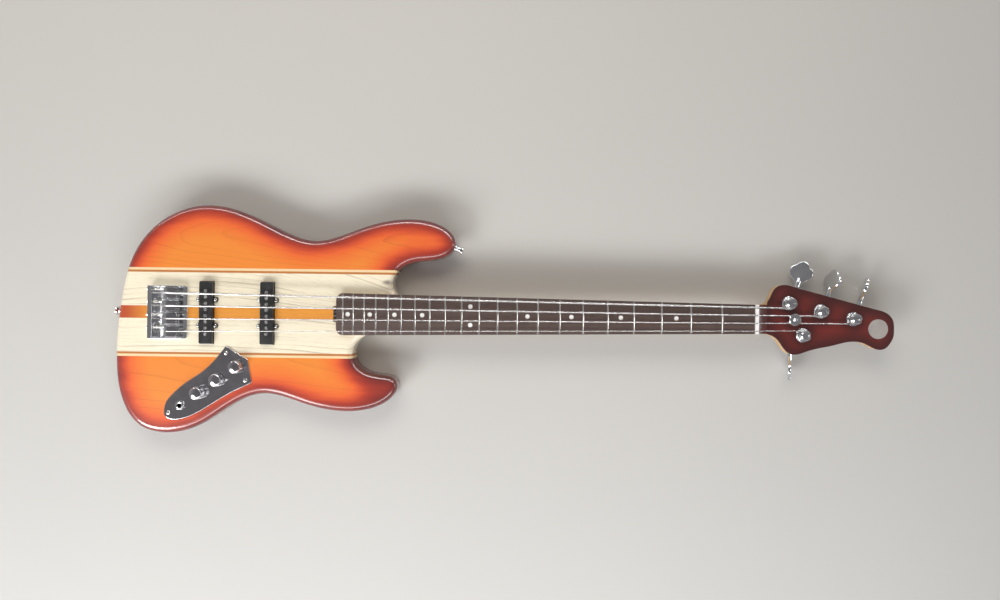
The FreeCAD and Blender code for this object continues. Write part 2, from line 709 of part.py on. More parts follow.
jack_spot = vec(size.jack_x, size.jack_y)
knob_step = vec(size.knob_step_x, size.knob_step_y)
knob_spots = [jack_spot + knob_step * count for count in (3, 2, 1)]
cavity_sketch = new_sketch(blank, "XY_Plane", front)
stadium(cavity_sketch, jack_spot - knob_step * 0.06, knob_spots[0] - knob_step * 0.06,
        size.cavity_half_width)
pocket(blank, cavity_sketch, size.cavity_depth)

# Holes in the wood for screws and leads, and the scoop in the back
heel_screw_spots = []
for run in (0.0, 1.0):
    for sign in (-0.5, 0.5):
        heel_screw_spots.append((board_end + size.neck_screw_inset + run * size.neck_screw_run,
                                 sign * size.neck_screw_span))
wood_holes = []
for index, (x, y) in enumerate(heel_screw_spots):
    wood_holes.append(rod("heel_hole_%d" % index, size.neck_screw_radius + 4.0 * size.wood_screw_gap,
                          pocket_floor + 2.0, x, y, -1.0))
    wood_holes.append(rod("ferrule_hole_%d" % index, size.ferrule_radius + size.wood_screw_gap,
                          size.ferrule_height + size.ferrule_sink + 1.0, x, y, -1.0))

bridge_screw_spots = [(size.bridge_screw_x, size.bridge_screw_y),
                      (size.bridge_screw_x, 0.0 * size.bridge_screw_y),
                      (size.bridge_screw_x, -size.bridge_screw_y),
                      (-size.bridge_rear_x, size.string_spacing_bridge),
                      (-size.bridge_rear_x, -size.string_spacing_bridge)]
for index, (x, y) in enumerate(bridge_screw_spots):
    wood_holes.append(rod("bridge_hole_%d" % index, size.bridge_screw_radius + size.wood_screw_gap,
                          size.bridge_screw_length + 2.0, x, y, front - size.bridge_screw_length - 1.0))

plate_screw_spots = [(size.plate_corner_x + 0.4, size.plate_corner_y - 10.4),
                     (size.plate_point_x - 9.6, size.plate_point_y + 3.8),
                     (size.plate_tail_x + 7.2, size.plate_tail_y - 2.0)]
for index, (x, y) in enumerate(plate_screw_spots):
    wood_holes.append(rod("plate_hole_%d" % index, size.plate_screw_radius + size.wood_screw_gap,
                          15.0, x, y, front - 14.0))

pickup_hole_floor = front + size.ear_rise - size.pickup_screw_length - 4.0
for tag, centre in (("bridge", size.pickup_bridge_x), ("neck", size.pickup_neck_x)):
    for index, (sign_x, sign_y) in enumerate(((-1, -1), (1, -1), (1, 1), (-1, 1))):
        wood_holes.append(rod("%s_ear_hole_%d" % (tag, index), size.small_screw_radius + 0.15,
                              front - pickup_hole_floor, centre + sign_x * size.ear_offset_x,
                              sign_y * size.ear_offset_y, pickup_hole_floor))

for index, (point, out) in enumerate(strap_spots):
    start = point - out * (named("strap_screw_length") + 1.0)
    wood_holes.append(rod("strap_hole_%d" % index, size.strap_screw_radius + size.wood_screw_gap,
                          size.strap_screw_length + 6.0, start.x, start.y, 0.5 * front, tuple(out)))

cavity_line = Vector(knob_step).normalize()
cavity_side = Vector(-cavity_line.y, cavity_line.x, 0)
channel_z = front - size.pickup_cavity_depth + size.channel_radius + 1.0
lead_ends = []
for tag, centre, target in (("bridge", size.pickup_bridge_x, knob_spots[1]),
                            ("neck", size.pickup_neck_x, knob_spots[0])):
    start = vec(centre - 0.25 * size.pickup_width, -0.5 * size.pickup_length + 8.0)
    end = target + cavity_side * (named("cavity_half_width") - 2.0)
    way = end - start
    channel = rod(tag + "_channel", size.channel_radius, way.Length, start.x, start.y, channel_z,
                  (way.x, way.y, 0.0))
    wood_holes.append(channel)
    lead_ends.append((start, end))

belly_ball = doc.addObject("Part::Sphere", "belly_ball")
belly_chord = size.belly_reach * size.belly_reach + size.belly_depth * size.belly_depth
belly_radius = belly_chord / (2.0 * size.belly_depth)
belly_ball.Radius = float(belly_radius)
bind(belly_ball, "Radius", belly_radius)
place(belly_ball, size.belly_x, size.belly_y, size.belly_depth - belly_radius)

wood_tools = union("wood_tools", wood_holes)
scooped = cut("scooped_blank", blank, belly_ball)
carved = cut("carved_blank", scooped, wood_tools)

core_edge = 0.5 * size.core_width
dark_edge = core_edge + size.dark_strip_width
light_edge = dark_edge + size.light_strip_width
far_x = size.upper_tip_x + 60.0
near_x = size.tail_x - 60.0
far_y = size.upper_bout_y + 60.0
low_y = size.lower_bout_y - 60.0


def slab(name, y_low, y_high):
    return box(name, (near_x, y_low, -5.0), (far_x, y_high, front + 5.0))


half_strip = 0.5 * size.centre_strip_width
node("upper_wing", common("upper_wing", carved, slab("upper_wing_slab", light_edge, far_y)))
node("lower_wing", common("lower_wing", carved, slab("lower_wing_slab", low_y, -light_edge)))
light_slabs = group("light_slabs", [slab("light_slab_up", dark_edge, light_edge),
                                    slab("light_slab_low", -light_edge, -dark_edge)])
node("light_strips", common("light_strips", carved, light_slabs))
dark_slabs = group("dark_slabs", [slab("dark_slab_up", core_edge, dark_edge),
                                  slab("dark_slab_low", -dark_edge, -core_edge)])
node("dark_strips", common("dark_strips", carved, dark_slabs))
core_slabs = group("core_slabs", [slab("core_slab_up", half_strip, core_edge),
                                  slab("core_slab_low", -core_edge, -half_strip)])
node("ash_core", common("ash_core", carved, core_slabs))
node("centre_strip", common("centre_strip", carved, slab("centre_slab", -half_strip, half_strip)))


# Neck: heel, shaft and headstock of one piece of maple
def shaft_section(x, depth, power):
    # Flat top and a rounded back; a high power squares the back up
    half = half_width(x)
    points = []
    for step in range(17):
        turn = math.pi * step / 16.0
        across = math.cos(turn)
        down = math.sin(turn) if 0 < step < 16 else 0.0
        y = half * math.copysign(abs(across) ** (2.0 / power), across)
        points.append(Vector(x, y, float(neck_top) - depth * down ** (2.0 / power)))
    back = Part.BSplineCurve()
    back.interpolate(points)
    return Part.Wire([back.toShape(), Part.makeLine(points[-1], points[0])])


def shaft_depth(x):
    share = (x - float(heel_far)) / (float(nut_x) - float(heel_far))
    return named("shaft_depth_heel") + share * (named("shaft_depth_nut") - named("shaft_depth_heel"))


HEEL_BLEND = ((0.0, 7.0), (0.25, 4.6), (0.5, 3.1), (0.75, 2.45), (1.0, 2.2))
HEAD_BLEND = ((0.0, 2.2), (0.35, 2.5), (0.7, 3.6), (1.0, 7.0))
heel_near = board_end + size.heel_length
heel_far = heel_near + size.heel_blend
head_near = nut_x - 24.0
head_far = nut_x + 4.0

heel = new_body("heel_block")
heel_sketch = new_sketch(heel, "XY_Plane", pocket_floor)
heel_half = half_width(float(heel_near))
polygon(heel_sketch, [(board_end, -0.5 * size.heel_width), (heel_near, -heel_half),
                      (heel_near, heel_half), (board_end, 0.5 * size.heel_width)])
heel_pad = pad(heel, heel_sketch, size.heel_thickness)
end_x = float(board_end)
rounded(heel, heel_pad, size.heel_corner, lambda edge: is_upright(edge)
        and edge.BoundBox.XMin < end_x + 1.0)

blend_sections = []
for share, power in HEEL_BLEND:
    ease = share * share * (3.0 - 2.0 * share)
    depth = named("heel_thickness") + ease * (shaft_depth(float(heel_far)) - named("heel_thickness"))
    blend_sections.append(shaft_section(float(heel_near) + share * named("heel_blend"), depth, power))
heel_blend = formed("heel_blend", Part.makeLoft(blend_sections, True, False))
shaft = formed("shaft", Part.makeLoft([shaft_section(float(heel_far), shaft_depth(float(heel_far)),
                                                     2.2),
                                       shaft_section(float(head_near), shaft_depth(float(head_near)),
                                                     2.2)], True, True))
head_sections = []
for share, power in HEAD_BLEND:
    x = float(head_near) + share * (float(head_far) - float(head_near))
    head_sections.append(shaft_section(x, shaft_depth(x), power))
head_blend = formed("head_blend", Part.makeLoft(head_sections, True, False))


def head_outline():
    def head_spot(name):
        return (float(nut_x) + named("head_%s_x" % name), named("head_%s_y" % name))

    half = half_width(float(nut_x))
    root_up = (float(nut_x) + 3.0, half)
    root_low = (float(nut_x) + 3.0, -half)
    shoulder_up, shoulder_low = head_spot("upper_shoulder"), head_spot("lower_shoulder")
    edge_start, edge_end = head_spot("edge_start"), head_spot("edge_end")
    tip, lobe, hollow = head_spot("tip"), head_spot("lobe"), head_spot("hollow")
    edge = vec(edge_end[0] - edge_start[0], edge_end[1] - edge_start[1]).normalize()
    flank_up = [root_up] + [between(root_up, shoulder_up, *share)
                            for share in ((0.4, 0.086), (0.62, 0.57), (0.8, 0.9))]
    flank_up += [shoulder_up, edge_start]
    nose = [edge_end]
    nose += [between(edge_end, tip, *share) for share in ((0.37, 0.1), (0.755, 0.31), (0.95, 0.615))]
    nose += [tip, between(tip, lobe, 0.03, 0.36), between(tip, lobe, 0.3, 0.71),
             between(tip, lobe, 0.63, 0.93)]
    nose += [lobe, between(lobe, hollow, 0.19, 0.1), between(lobe, hollow, 0.43, 0.5),
             between(lobe, hollow, 0.69, 0.9), hollow]
    flank_low = [hollow, between(hollow, shoulder_low, 0.32, 0.31),
                 between(hollow, shoulder_low, 0.71, 0.75), shoulder_low]
    flank_low += [between(shoulder_low, root_low, *share)
                  for share in ((0.18, 0.25), (0.35, 0.68), (0.56, 0.94))] + [root_low]
    return [Part.LineSegment(vec(*root_low), vec(*root_up)), span(flank_up, (1, 0), (edge.x, edge.y)),
            Part.LineSegment(vec(*edge_start), vec(*edge_end)), span(nose, (edge.x, edge.y), (-1, 0)),
            span(flank_low, (-1, 0), (-1, 0))]


def head_slab(name, low, thickness):
    body = new_body(name)
    sketch = new_sketch(body, "XY_Plane", low)
    for curve in head_outline():
        sketch.addGeometry(curve, False)
    pad(body, sketch, thickness)
    return body


half_nut = 0.5 * size.nut_width
head_core = head_slab("head_core", head_back, size.head_thickness)
head_step = box("head_step", (nut_x + 3.5, -half_nut, slab_top - 2.0),
                (nut_x + size.scoop_end + 1.0, half_nut, neck_top))
step_drop = neck_top - face_top
scoop_run = size.scoop_end - size.scoop_start
scoop_radius = (scoop_run * scoop_run + step_drop * step_drop) / (2.0 * step_drop)
scoop_round = rod("scoop_round", scoop_radius, 120.0, nut_x + size.scoop_end, 60.0,
                  face_top + scoop_radius, (0, -1, 0))
scoop_flat = box("scoop_flat", (nut_x + size.scoop_end, -size.core_width, slab_top),
                 (nut_x + size.head_tip_x + 60.0, size.core_width, board_top + 60.0))
ramp_drop = neck_top - shaft_depth(float(head_far)) - head_back
ramp_run = 26.0
ramp_radius = (ramp_run * ramp_run + ramp_drop * ramp_drop) / (2.0 * ramp_drop)
ramp_round = rod("ramp_round", ramp_radius, 120.0, head_far, 60.0, head_back + ramp_drop - ramp_radius,
                 (0, -1, 0))

rod_z = neck_top - size.truss_rod_depth
rod_half = size.truss_rod_radius + size.truss_channel_gap
truss_end = nut_x - size.truss_rod_stop
neck_tools = [scoop_round, scoop_flat, ramp_round, box("truss_channel",
                                                       (board_end - 1.0, -rod_half, rod_z - rod_half),
                                                       (truss_end, rod_half, neck_top + 1.0))]
for index, (x, y) in enumerate(heel_screw_spots):
    neck_tools.append(rod("heel_pilot_%d" % index, size.neck_screw_radius + size.wood_screw_gap,
                          size.neck_screw_bite + 2.0, x, y, pocket_floor - 1.0))


def tuner_placement(line):
    turn = 180.0 if line.name == "g" else named("key_edge_turn")
    return Placement(Vector(line.post.x, line.post.y, 0), Rotation(Vector(0, 0, 1), turn))


tuner_places = [tuner_placement(line) for line in strings]
worm_x = float(size.worm_radius) + GEAR_TEETH * named("worm_pitch") / (2.0 * math.pi)
plate_side = worm_x + named("ear_half_width") + 3.4
mark_inset = named("small_screw_head") + 0.6
plate_screw_marks = [(-named("tuner_plate_side") + mark_inset, -named("tuner_plate_inner") + mark_inset),
                     (plate_side - mark_inset, -named("tuner_plate_inner") + mark_inset),
                     (plate_side - mark_inset, named("tuner_plate_outer") - mark_inset),
                     (-named("tuner_plate_side") + mark_inset, named("tuner_plate_outer") - mark_inset)]
plate_low = head_back - size.tuner_plate_thickness
tuner_screw_places = []
for where in tuner_places:
    for u, v in plate_screw_marks:
        spot_on = where.multVec(Vector(u, v, float(plate_low)))
        tuner_screw_places.append(Placement(spot_on, Rotation(Vector(1, 0, 0), 180)))
retainer_spot = (nut_x + size.retainer_x, 0.0)
veneer_tools = []
for index, line in enumerate(strings):
    hole_radius = size.bushing_radius + size.wood_screw_gap
    neck_tools.append(rod("post_hole_%d" % index, hole_radius, size.head_thickness + 2.0,
                          line.post.x, line.post.y, head_back - 1.0))
    veneer_tools.append(rod("veneer_hole_%d" % index, hole_radius, size.veneer_thickness + 2.0,
                            line.post.x, line.post.y, slab_top - 1.0))
for index, where in enumerate(tuner_screw_places):
    neck_tools.append(rod("tuner_pilot_%d" % index, size.small_screw_radius + size.wood_screw_gap,
                          size.small_screw_length + 0.5, where.Base.x, where.Base.y, head_back - 1.0))
retainer_pilot = size.small_screw_radius + size.wood_screw_gap
neck_tools.append(rod("retainer_pilot", retainer_pilot, 11.0, retainer_spot[0], 0.0, slab_top - 10.0))
veneer_tools.append(rod("retainer_veneer", retainer_pilot, 6.0, retainer_spot[0], 0.0, slab_top - 1.0))

neck_blank = union("neck_blank", [heel, heel_blend, shaft, head_blend, head_core, head_step])
node("neck", cut("neck", neck_blank, group("neck_tools", neck_tools)))

inlay_spot = (nut_x + size.inlay_x, size.inlay_y)
veneer_tools.append(rod("inlay_recess", size.inlay_radius, size.inlay_depth + 1.0, inlay_spot[0],
                        inlay_spot[1], face_top - size.inlay_depth))
veneer_slab = head_slab("veneer_slab", slab_top, size.veneer_thickness)
veneer_limit = box("veneer_limit", (nut_x + size.scoop_end, -size.core_width, slab_top - 1.0),
                   (nut_x + size.head_tip_x + 60.0, size.core_width, face_top + 1.0))
veneer = common("veneer", veneer_slab, veneer_limit)
node("headstock_face", cut("headstock_face", veneer, group("veneer_tools", veneer_tools)))
node("headstock_inlay", rod("headstock_inlay", size.inlay_radius, size.inlay_depth, inlay_spot[0],
                            inlay_spot[1], face_top - size.inlay_depth))

# Fingerboard, frets, markers and nut
board = new_body("board_blank")
board_sketch = new_sketch(board, "XY_Plane", neck_top)
polygon(board_sketch, [(board_end, -0.5 * size.heel_width), (nut_x, -half_nut), (nut_x, half_nut),
                       (board_end, 0.5 * size.heel_width)])
board_pad = pad(board, board_sketch, size.fingerboard_thickness)
rounded(board, board_pad, size.heel_corner, lambda edge: is_upright(edge)
        and edge.BoundBox.XMin < end_x + 1.0)
crown = rod("crown", size.fingerboard_radius, nut_x, board_end - 20.0, 0.0,
            board_top - size.fingerboard_radius, (1, 0, 0))
crowned = common("crowned_board", board, crown)
slots = []
for number in range(1, FRET_COUNT + 1):
    half_slot = 0.5 * size.fret_tang_width + size.fret_slot_gap
    x = fret_x(number)
    slots.append(box("fret_slot_%d" % number, (x - half_slot, -size.heel_width,
                                               board_top - size.fret_tang_depth - 2.2),
                     (x + half_slot, size.heel_width, board_top + 5.0)))
dot_rods = []
for number in DOT_FRETS + (DOUBLE_DOT_FRET,):
    x = 0.5 * (fret_x(number) + fret_x(number - 1))
    levels = (-0.5, 0.5) if number == DOUBLE_DOT_FRET else (0.0,)
    for share in levels:
        dot_rods.append(rod("dot_%d" % len(dot_rods), size.dot_radius, size.dot_depth + 6.0,
                            x, share * size.double_dot_spacing, board_top - size.dot_depth))
dots = group("dot_rods", dot_rods)
node("fingerboard", cut("fingerboard", crowned, group("board_cuts", slots + [dots])))
node("fret_markers", common("fret_markers", dots, crown))


def fret_shape(number):
    # Rounded crown and a tang, swung about the axis of the fingerboard crown
    x = fret_x(number)
    radius = named("fingerboard_radius")
    top = float(board_top)
    half = 0.5 * named("fret_width")
    tang = 0.5 * named("fret_tang_width")
    low = top - named("fret_tang_depth")
    peak = top + named("fret_height")
    corners = [Vector(x + half, 0, top), Vector(x + tang, 0, top), Vector(x + tang, 0, low),
               Vector(x - tang, 0, low), Vector(x - tang, 0, top), Vector(x - half, 0, top)]
    edges = [Part.makeLine(start, end) for start, end in zip(corners, corners[1:])]
    edges.append(Part.Arc(corners[-1], Vector(x, 0, peak), corners[0]).toShape())
    face = Part.Face(Part.Wire(edges))
    swing = math.degrees(math.asin((half_width(x) - named("fret_inset")) / radius))
    centre = Vector(x, 0, top - radius)
    face.rotate(centre, Vector(1, 0, 0), -swing)
    return face.revolve(centre, Vector(1, 0, 0), 2.0 * swing)


node("frets", formed("frets", Part.makeCompound([fret_shape(number)
                                                 for number in range(1, FRET_COUNT + 1)])))

nut_blank = box("nut_blank", (nut_x, -half_nut, neck_top),
                (nut_x + size.nut_thickness, half_nut, board_top + size.nut_rise))
nut_slots = []
for line in strings:
    groove = line.radius + size.string_seat_gap
    y = line.line_y(float(nut_x))
    bed = rod("nut_bed_" + line.name, groove, size.nut_thickness + 4.0, nut_x - 2.0, y, line.nut_z,
              (1, line.slope, 0))
    mouth = box("nut_mouth_" + line.name, (nut_x - 2.0, y - groove, line.nut_z),
                (nut_x + size.nut_thickness + 2.0, y + groove, board_top + size.nut_rise + 2.0))
    nut_slots.append(union("nut_slot_" + line.name, [bed, mouth]))
node("nut", cut("nut", nut_blank, group("nut_slots", nut_slots)))

# Truss rod, its anchor and its wheel
truss_bar = rod("truss_bar", size.truss_rod_radius, truss_end - board_end - 3.0 + size.wheel_width,
                board_end - size.wheel_width, 0.0, rod_z, (1, 0, 0))
truss_anchor = box("truss_anchor", (truss_end - 3.0, -rod_half + 0.05, rod_z - rod_half + 0.05),
                   (truss_end - 0.05, rod_half - 0.05, rod_z + rod_half))
node("truss_rod", union("truss_rod", [truss_bar, truss_anchor]))
wheel = new_body("wheel_blank")
wheel_sketch = new_sketch(wheel)
circles(wheel_sketch, [(0.0, 0.0)], size.wheel_radius)
circles(wheel_sketch, [(0.0, 0.0)], size.truss_rod_radius + size.running_gap)
pad(wheel, wheel_sketch, size.wheel_width)
place(wheel, board_end - gap - size.wheel_gap - size.wheel_width, 0.0, rod_z,
      Rotation(Vector(0, 0, 1), Vector(1, 0, 0)))
spokes = []
for count in range(3):
    turn = math.pi * count / 3.0
    way = (0.0, math.sin(turn), math.cos(turn))
    reach = named("wheel_radius") + 1.0
    spokes.append(rod("wheel_spoke_%d" % count, 1.1, 2.0 * reach,
                      board_end - gap - size.wheel_gap - 0.5 * size.wheel_width, -reach * way[1],
                      float(rod_z) - reach * way[2], way))
node("truss_rod_wheel", cut("truss_rod_wheel", wheel, union("wheel_spokes", spokes)))

# Neck fastening: ferrules and screws in the back
sink = size.ferrule_sink
ferrule_top = sink + size.ferrule_height
ferrule = turned("ferrule", [(size.neck_screw_radius + 0.3, ferrule_top),
                             (size.ferrule_radius, ferrule_top), (size.ferrule_radius, sink + 0.6),
                             (size.ferrule_radius - 0.6, sink), (size.ferrule_radius - 1.4, sink),
                             (size.ferrule_radius - 1.8, sink + 2.2),
                             (size.neck_screw_radius + 0.3, sink + 2.2)])
head_radius = size.ferrule_radius - 2.2
neck_screw = turned("neck_screw", [(0.0, sink + 0.3), (0.6 * head_radius, sink + 0.4),
                                   (head_radius, sink + 1.3), (head_radius, sink + 2.2),
                                   (size.neck_screw_radius, sink + 2.2),
                                   (size.neck_screw_radius, pocket_floor + size.neck_screw_bite - 3.0),
                                   (0.0, pocket_floor + size.neck_screw_bite)])
heel_places = [Placement(vec(x, y), Rotation()) for x, y in heel_screw_spots]
node("neck_ferrules", copies("neck_ferrules", ferrule, heel_places))
node("neck_screws", copies("neck_screws", neck_screw, heel_places))


# Tuners: worm on the key shaft, slanted gear on the post, plate with bearing ears
worm_tip = size.worm_radius + size.tooth_addendum
worm_root = size.worm_radius - size.tooth_dedendum
worm_z = plate_low - size.worm_plate_gap - worm_tip
gear_pitch_radius = worm_x - named("worm_radius")
gear_low = worm_z - 0.5 * size.gear_width
gear_high = worm_z + 0.5 * size.gear_width
FLANK = math.tan(math.radians(20.0))


def hexagon(radius):
    turns = [math.pi * side / 3.0 for side in range(6)]
    return [(radius * math.cos(turn), radius * math.sin(turn)) for turn in turns]


def tooth_half(rise):
    return 0.5 * named("tooth_width") - rise * FLANK


def gear_section(z):
    lead = named("worm_pitch") / (2.0 * math.pi * named("worm_radius"))
    slant = (z - float(worm_z)) * lead / gear_pitch_radius
    tip = gear_pitch_radius + named("tooth_addendum")
    root = gear_pitch_radius - named("tooth_dedendum")
    tip_turn = tooth_half(named("tooth_addendum")) / tip
    root_turn = tooth_half(-named("tooth_dedendum")) / root
    points = []
    for tooth in range(GEAR_TEETH):
        middle = 2.0 * math.pi * tooth / GEAR_TEETH + slant
        for radius, turn in ((root, -root_turn), (tip, -tip_turn), (tip, tip_turn), (root, root_turn)):
            points.append(Vector(radius * math.cos(middle + turn), radius * math.sin(middle + turn), z))
    return Part.makePolygon(points + points[:1])


gear_rim = formed("gear_rim", Part.makeLoft([gear_section(float(gear_low)),
                                             gear_section(float(gear_high))], True, True))
gear_eye = rod("gear_eye", size.gear_bore, size.gear_width + 2.0, 0.0, 0.0, gear_low - 1.0)
gear = cut("gear", gear_rim, gear_eye)

post_top = face_top + size.post_rise
post_rest = face_top + size.bushing_flange_height + size.bushing_foot_gap
post_blank = turned("post_blank", [(0.0, gear_low), (size.gear_bore, gear_low),
                                   (size.gear_bore, gear_high), (size.post_radius, gear_high),
                                   (size.post_radius, post_rest), (size.post_collar, post_rest),
                                   (size.post_collar, post_rest + size.post_foot - 0.6),
                                   (size.post_waist, post_rest + size.post_foot),
                                   (size.post_waist, post_top - size.post_rim),
                                   (size.post_collar, post_top - size.post_rim + 0.6),
                                   (size.post_collar, post_top - 0.8),
                                   (size.post_collar - 0.8, post_top), (0.0, post_top)])
post_slot = box("post_slot", (-10.0, -0.5 * size.post_slot_width, post_top - size.post_slot_depth),
                (10.0, 0.5 * size.post_slot_width, post_top + 1.0))
post = cut("post", post_blank, post_slot)
gear_screw = turned("gear_screw", [(0.0, gear_low - 2.0), (size.gear_bore + 0.2, gear_low - 2.0),
                                   (size.gear_bore + 1.0, gear_low - 1.2),
                                   (size.gear_bore + 1.0, gear_low), (0.0, gear_low)])
post_set = group("post_set", [post, gear, gear_screw])


def worm_thread():
    length = named("worm_length")
    helix = Part.makeHelix(named("worm_pitch"), length, named("worm_radius"))
    inner = float(worm_root) - 0.25
    outer = float(worm_tip)
    inner_half = tooth_half(inner - named("worm_radius"))
    outer_half = tooth_half(outer - named("worm_radius"))
    corners = [Vector(inner, 0, -inner_half), Vector(outer, 0, -outer_half), Vector(outer, 0, outer_half),
               Vector(inner, 0, inner_half)]
    profile = Part.makePolygon(corners + corners[:1])
    return Part.Wire(helix.Edges).makePipeShell([profile], True, True)


half_worm = 0.5 * named("worm_length")
thread_turn = Rotation(Vector(0, 0, 1), -360.0 * half_worm / named("worm_pitch"))
thread = formed("worm_thread", worm_thread(), Placement(Vector(0, 0, -half_worm), thread_turn))
ear_face = size.ear_place - 0.5 * size.ear_thickness
shaft_end = size.key_shaft_reach
shaft_core = turned("key_shaft_core", [(0.0, -size.ear_place - 2.0),
                                       (size.key_shaft_radius, -size.ear_place - 2.0),
                                       (size.key_shaft_radius, 0.3 - ear_face),
                                       (worm_root, 0.3 - ear_face), (worm_root, ear_face - 0.3),
                                       (size.key_shaft_radius, ear_face - 0.3),
                                       (size.key_shaft_radius, shaft_end), (0.0, shaft_end)])
key_shaft = union("key_shaft", [shaft_core, thread])
shaft_place = Placement(Vector(worm_x, 0, float(worm_z)), Rotation(Vector(1, 0, 0), -90))

def leaf_outline():
    # The leaf flares out of its stem into two side lobes and an end lobe
    root = (named("key_root_reach"), named("key_root_place"))
    lobe = (named("key_lobe_reach"), named("key_lobe_place"))
    notch = (named("key_notch_reach"), named("key_notch_place"))
    end = (0.0, named("key_end_place"))
    side = [root] + [between(root, lobe, *share) for share in ((0.13, 0.24), (0.35, 0.4), (0.61, 0.53),
                                                               (0.89, 0.73))]
    side += [lobe, between(lobe, notch, 0.14, 0.5), between(lobe, notch, 0.57, 0.83), notch]
    side += [between(notch, end, *share) for share in ((0.15, 0.37), (0.39, 0.72), (0.72, 0.94))] + [end]
    other = [(-x, y) for x, y in reversed(side)]
    return [span(side, (0, 1), (-1, 0)), span(other, (-1, 0), (0, -1)),
            Part.LineSegment(vec(*other[-1]), vec(*side[0]))]


leaf = new_body("key_leaf")
leaf_sketch = new_sketch(leaf, "XY_Plane", -0.5 * size.key_thickness)
for curve in leaf_outline():
    leaf_sketch.addGeometry(curve, False)
leaf_pad = pad(leaf, leaf_sketch, size.key_thickness)
leaf_root = named("key_root_place")
rounded(leaf, leaf_pad, size.key_edge, lambda edge: edge.BoundBox.ZLength < 0.001
        and edge.BoundBox.YMax > leaf_root + 1.0)
stem_blank = turned("key_stem", [(0.0, shaft_end), (size.key_stem_radius + 0.6, shaft_end),
                                 (size.key_stem_radius + 0.6, shaft_end + 1.6),
                                 (size.key_stem_radius - 0.4, shaft_end + 3.0),
                                 (size.key_stem_radius, size.key_stem_end - 6.0),
                                 (0.5 * size.key_stem_radius, size.key_stem_end),
                                 (0.0, size.key_stem_end)])
stem_turn = copies("key_stem_turned", stem_blank, [Placement(Vector(), Rotation(Vector(1, 0, 0), -90))])
key_handle = union("key_handle", [leaf, stem_turn])

for line, where in zip(strings, tuner_places):
    handle_place = Placement(Vector(worm_x, 0, float(worm_z)),
                             Rotation(Vector(0, 1, 0), named("key_turn_" + line.name)))
    pair = [copies("worm_of_" + line.name, key_shaft, [where.multiply(shaft_place)]),
            copies("handle_of_" + line.name, key_handle, [where.multiply(handle_place)])]
    node("tuner_key_" + line.name, group("tuner_key_" + line.name, pair))
    node("tuner_post_" + line.name, copies("tuner_post_" + line.name, post_set, [where]))

bushing_low = face_top - size.bushing_length
bushing_bore = size.post_radius + size.running_gap
washer_top = face_top + size.bushing_washer
bushing_sleeve = turned("bushing_sleeve", [(bushing_bore, bushing_low),
                                           (size.bushing_radius, bushing_low),
                                           (size.bushing_radius, face_top),
                                           (size.bushing_flange, face_top),
                                           (size.bushing_flange, washer_top),
                                           (bushing_bore, washer_top)])
bushing_nut = new_body("bushing_nut")
bushing_sketch = new_sketch(bushing_nut, "XY_Plane", washer_top)
polygon(bushing_sketch, hexagon(size.bushing_nut))
circles(bushing_sketch, [(0.0, 0.0)], bushing_bore)
pad(bushing_nut, bushing_sketch, size.bushing_flange_height - size.bushing_washer)
bushing = union("bushing", [bushing_sleeve, bushing_nut])
node("tuner_bushings", copies("tuner_bushings", bushing, tuner_places))

tuner_plate = new_body("tuner_plate_flat")
tuner_plate_sketch = new_sketch(tuner_plate, "XY_Plane", plate_low)
polygon(tuner_plate_sketch, [(-size.tuner_plate_side, -size.tuner_plate_inner),
                             (plate_side, -size.tuner_plate_inner),
                             (plate_side, size.tuner_plate_outer),
                             (-size.tuner_plate_side, size.tuner_plate_outer)])
tuner_plate_pad = pad(tuner_plate, tuner_plate_sketch, size.tuner_plate_thickness)
rounded(tuner_plate, tuner_plate_pad, 3.0, is_upright)
ears = []
for tag, sign in (("inner", -1.0), ("outer", 1.0)):
    middle = sign * size.ear_place
    tab = box("ear_tab_" + tag, (worm_x - size.ear_half_width, middle - 0.5 * size.ear_thickness, worm_z),
              (worm_x + size.ear_half_width, middle + 0.5 * size.ear_thickness, plate_low + 0.5))
    rim = rod("ear_rim_" + tag, size.ear_half_width, size.ear_thickness, worm_x,
              middle - 0.5 * size.ear_thickness, worm_z, (0, 1, 0))
    ears += [tab, rim]
tuner_frame = union("tuner_frame", [tuner_plate] + ears)
frame_holes = [rod("frame_post_hole", size.post_radius + 3.0 * size.running_gap,
                   size.tuner_plate_thickness + 2.0, 0.0, 0.0, plate_low - 1.0),
               rod("frame_worm_hole", size.key_shaft_radius + size.running_gap, 4.0 * size.ear_place,
                   worm_x, -2.0 * size.ear_place, worm_z, (0, 1, 0))]
for index, (u, v) in enumerate(plate_screw_marks):
    frame_holes.append(rod("frame_screw_hole_%d" % index, size.small_screw_radius + 0.1,
                           size.tuner_plate_thickness + 2.0, u, v, plate_low - 1.0))
tuner_carrier = cut("tuner_carrier", tuner_frame, group("frame_holes", frame_holes))
node("tuner_plates", copies("tuner_plates", tuner_carrier, tuner_places))
small_screw = turned("small_screw", [(0.0, -size.small_screw_length),
                                     (size.small_screw_radius, 3.0 - size.small_screw_length),
                                     (size.small_screw_radius, 0.0), (size.small_screw_head, 0.0),
                                     (size.small_screw_head, 0.4 * size.small_screw_rise),
                                     (0.6 * size.small_screw_head, size.small_screw_rise),
                                     (0.0, size.small_screw_rise)])
node("tuner_screws", copies("tuner_screws", small_screw, tuner_screw_places))

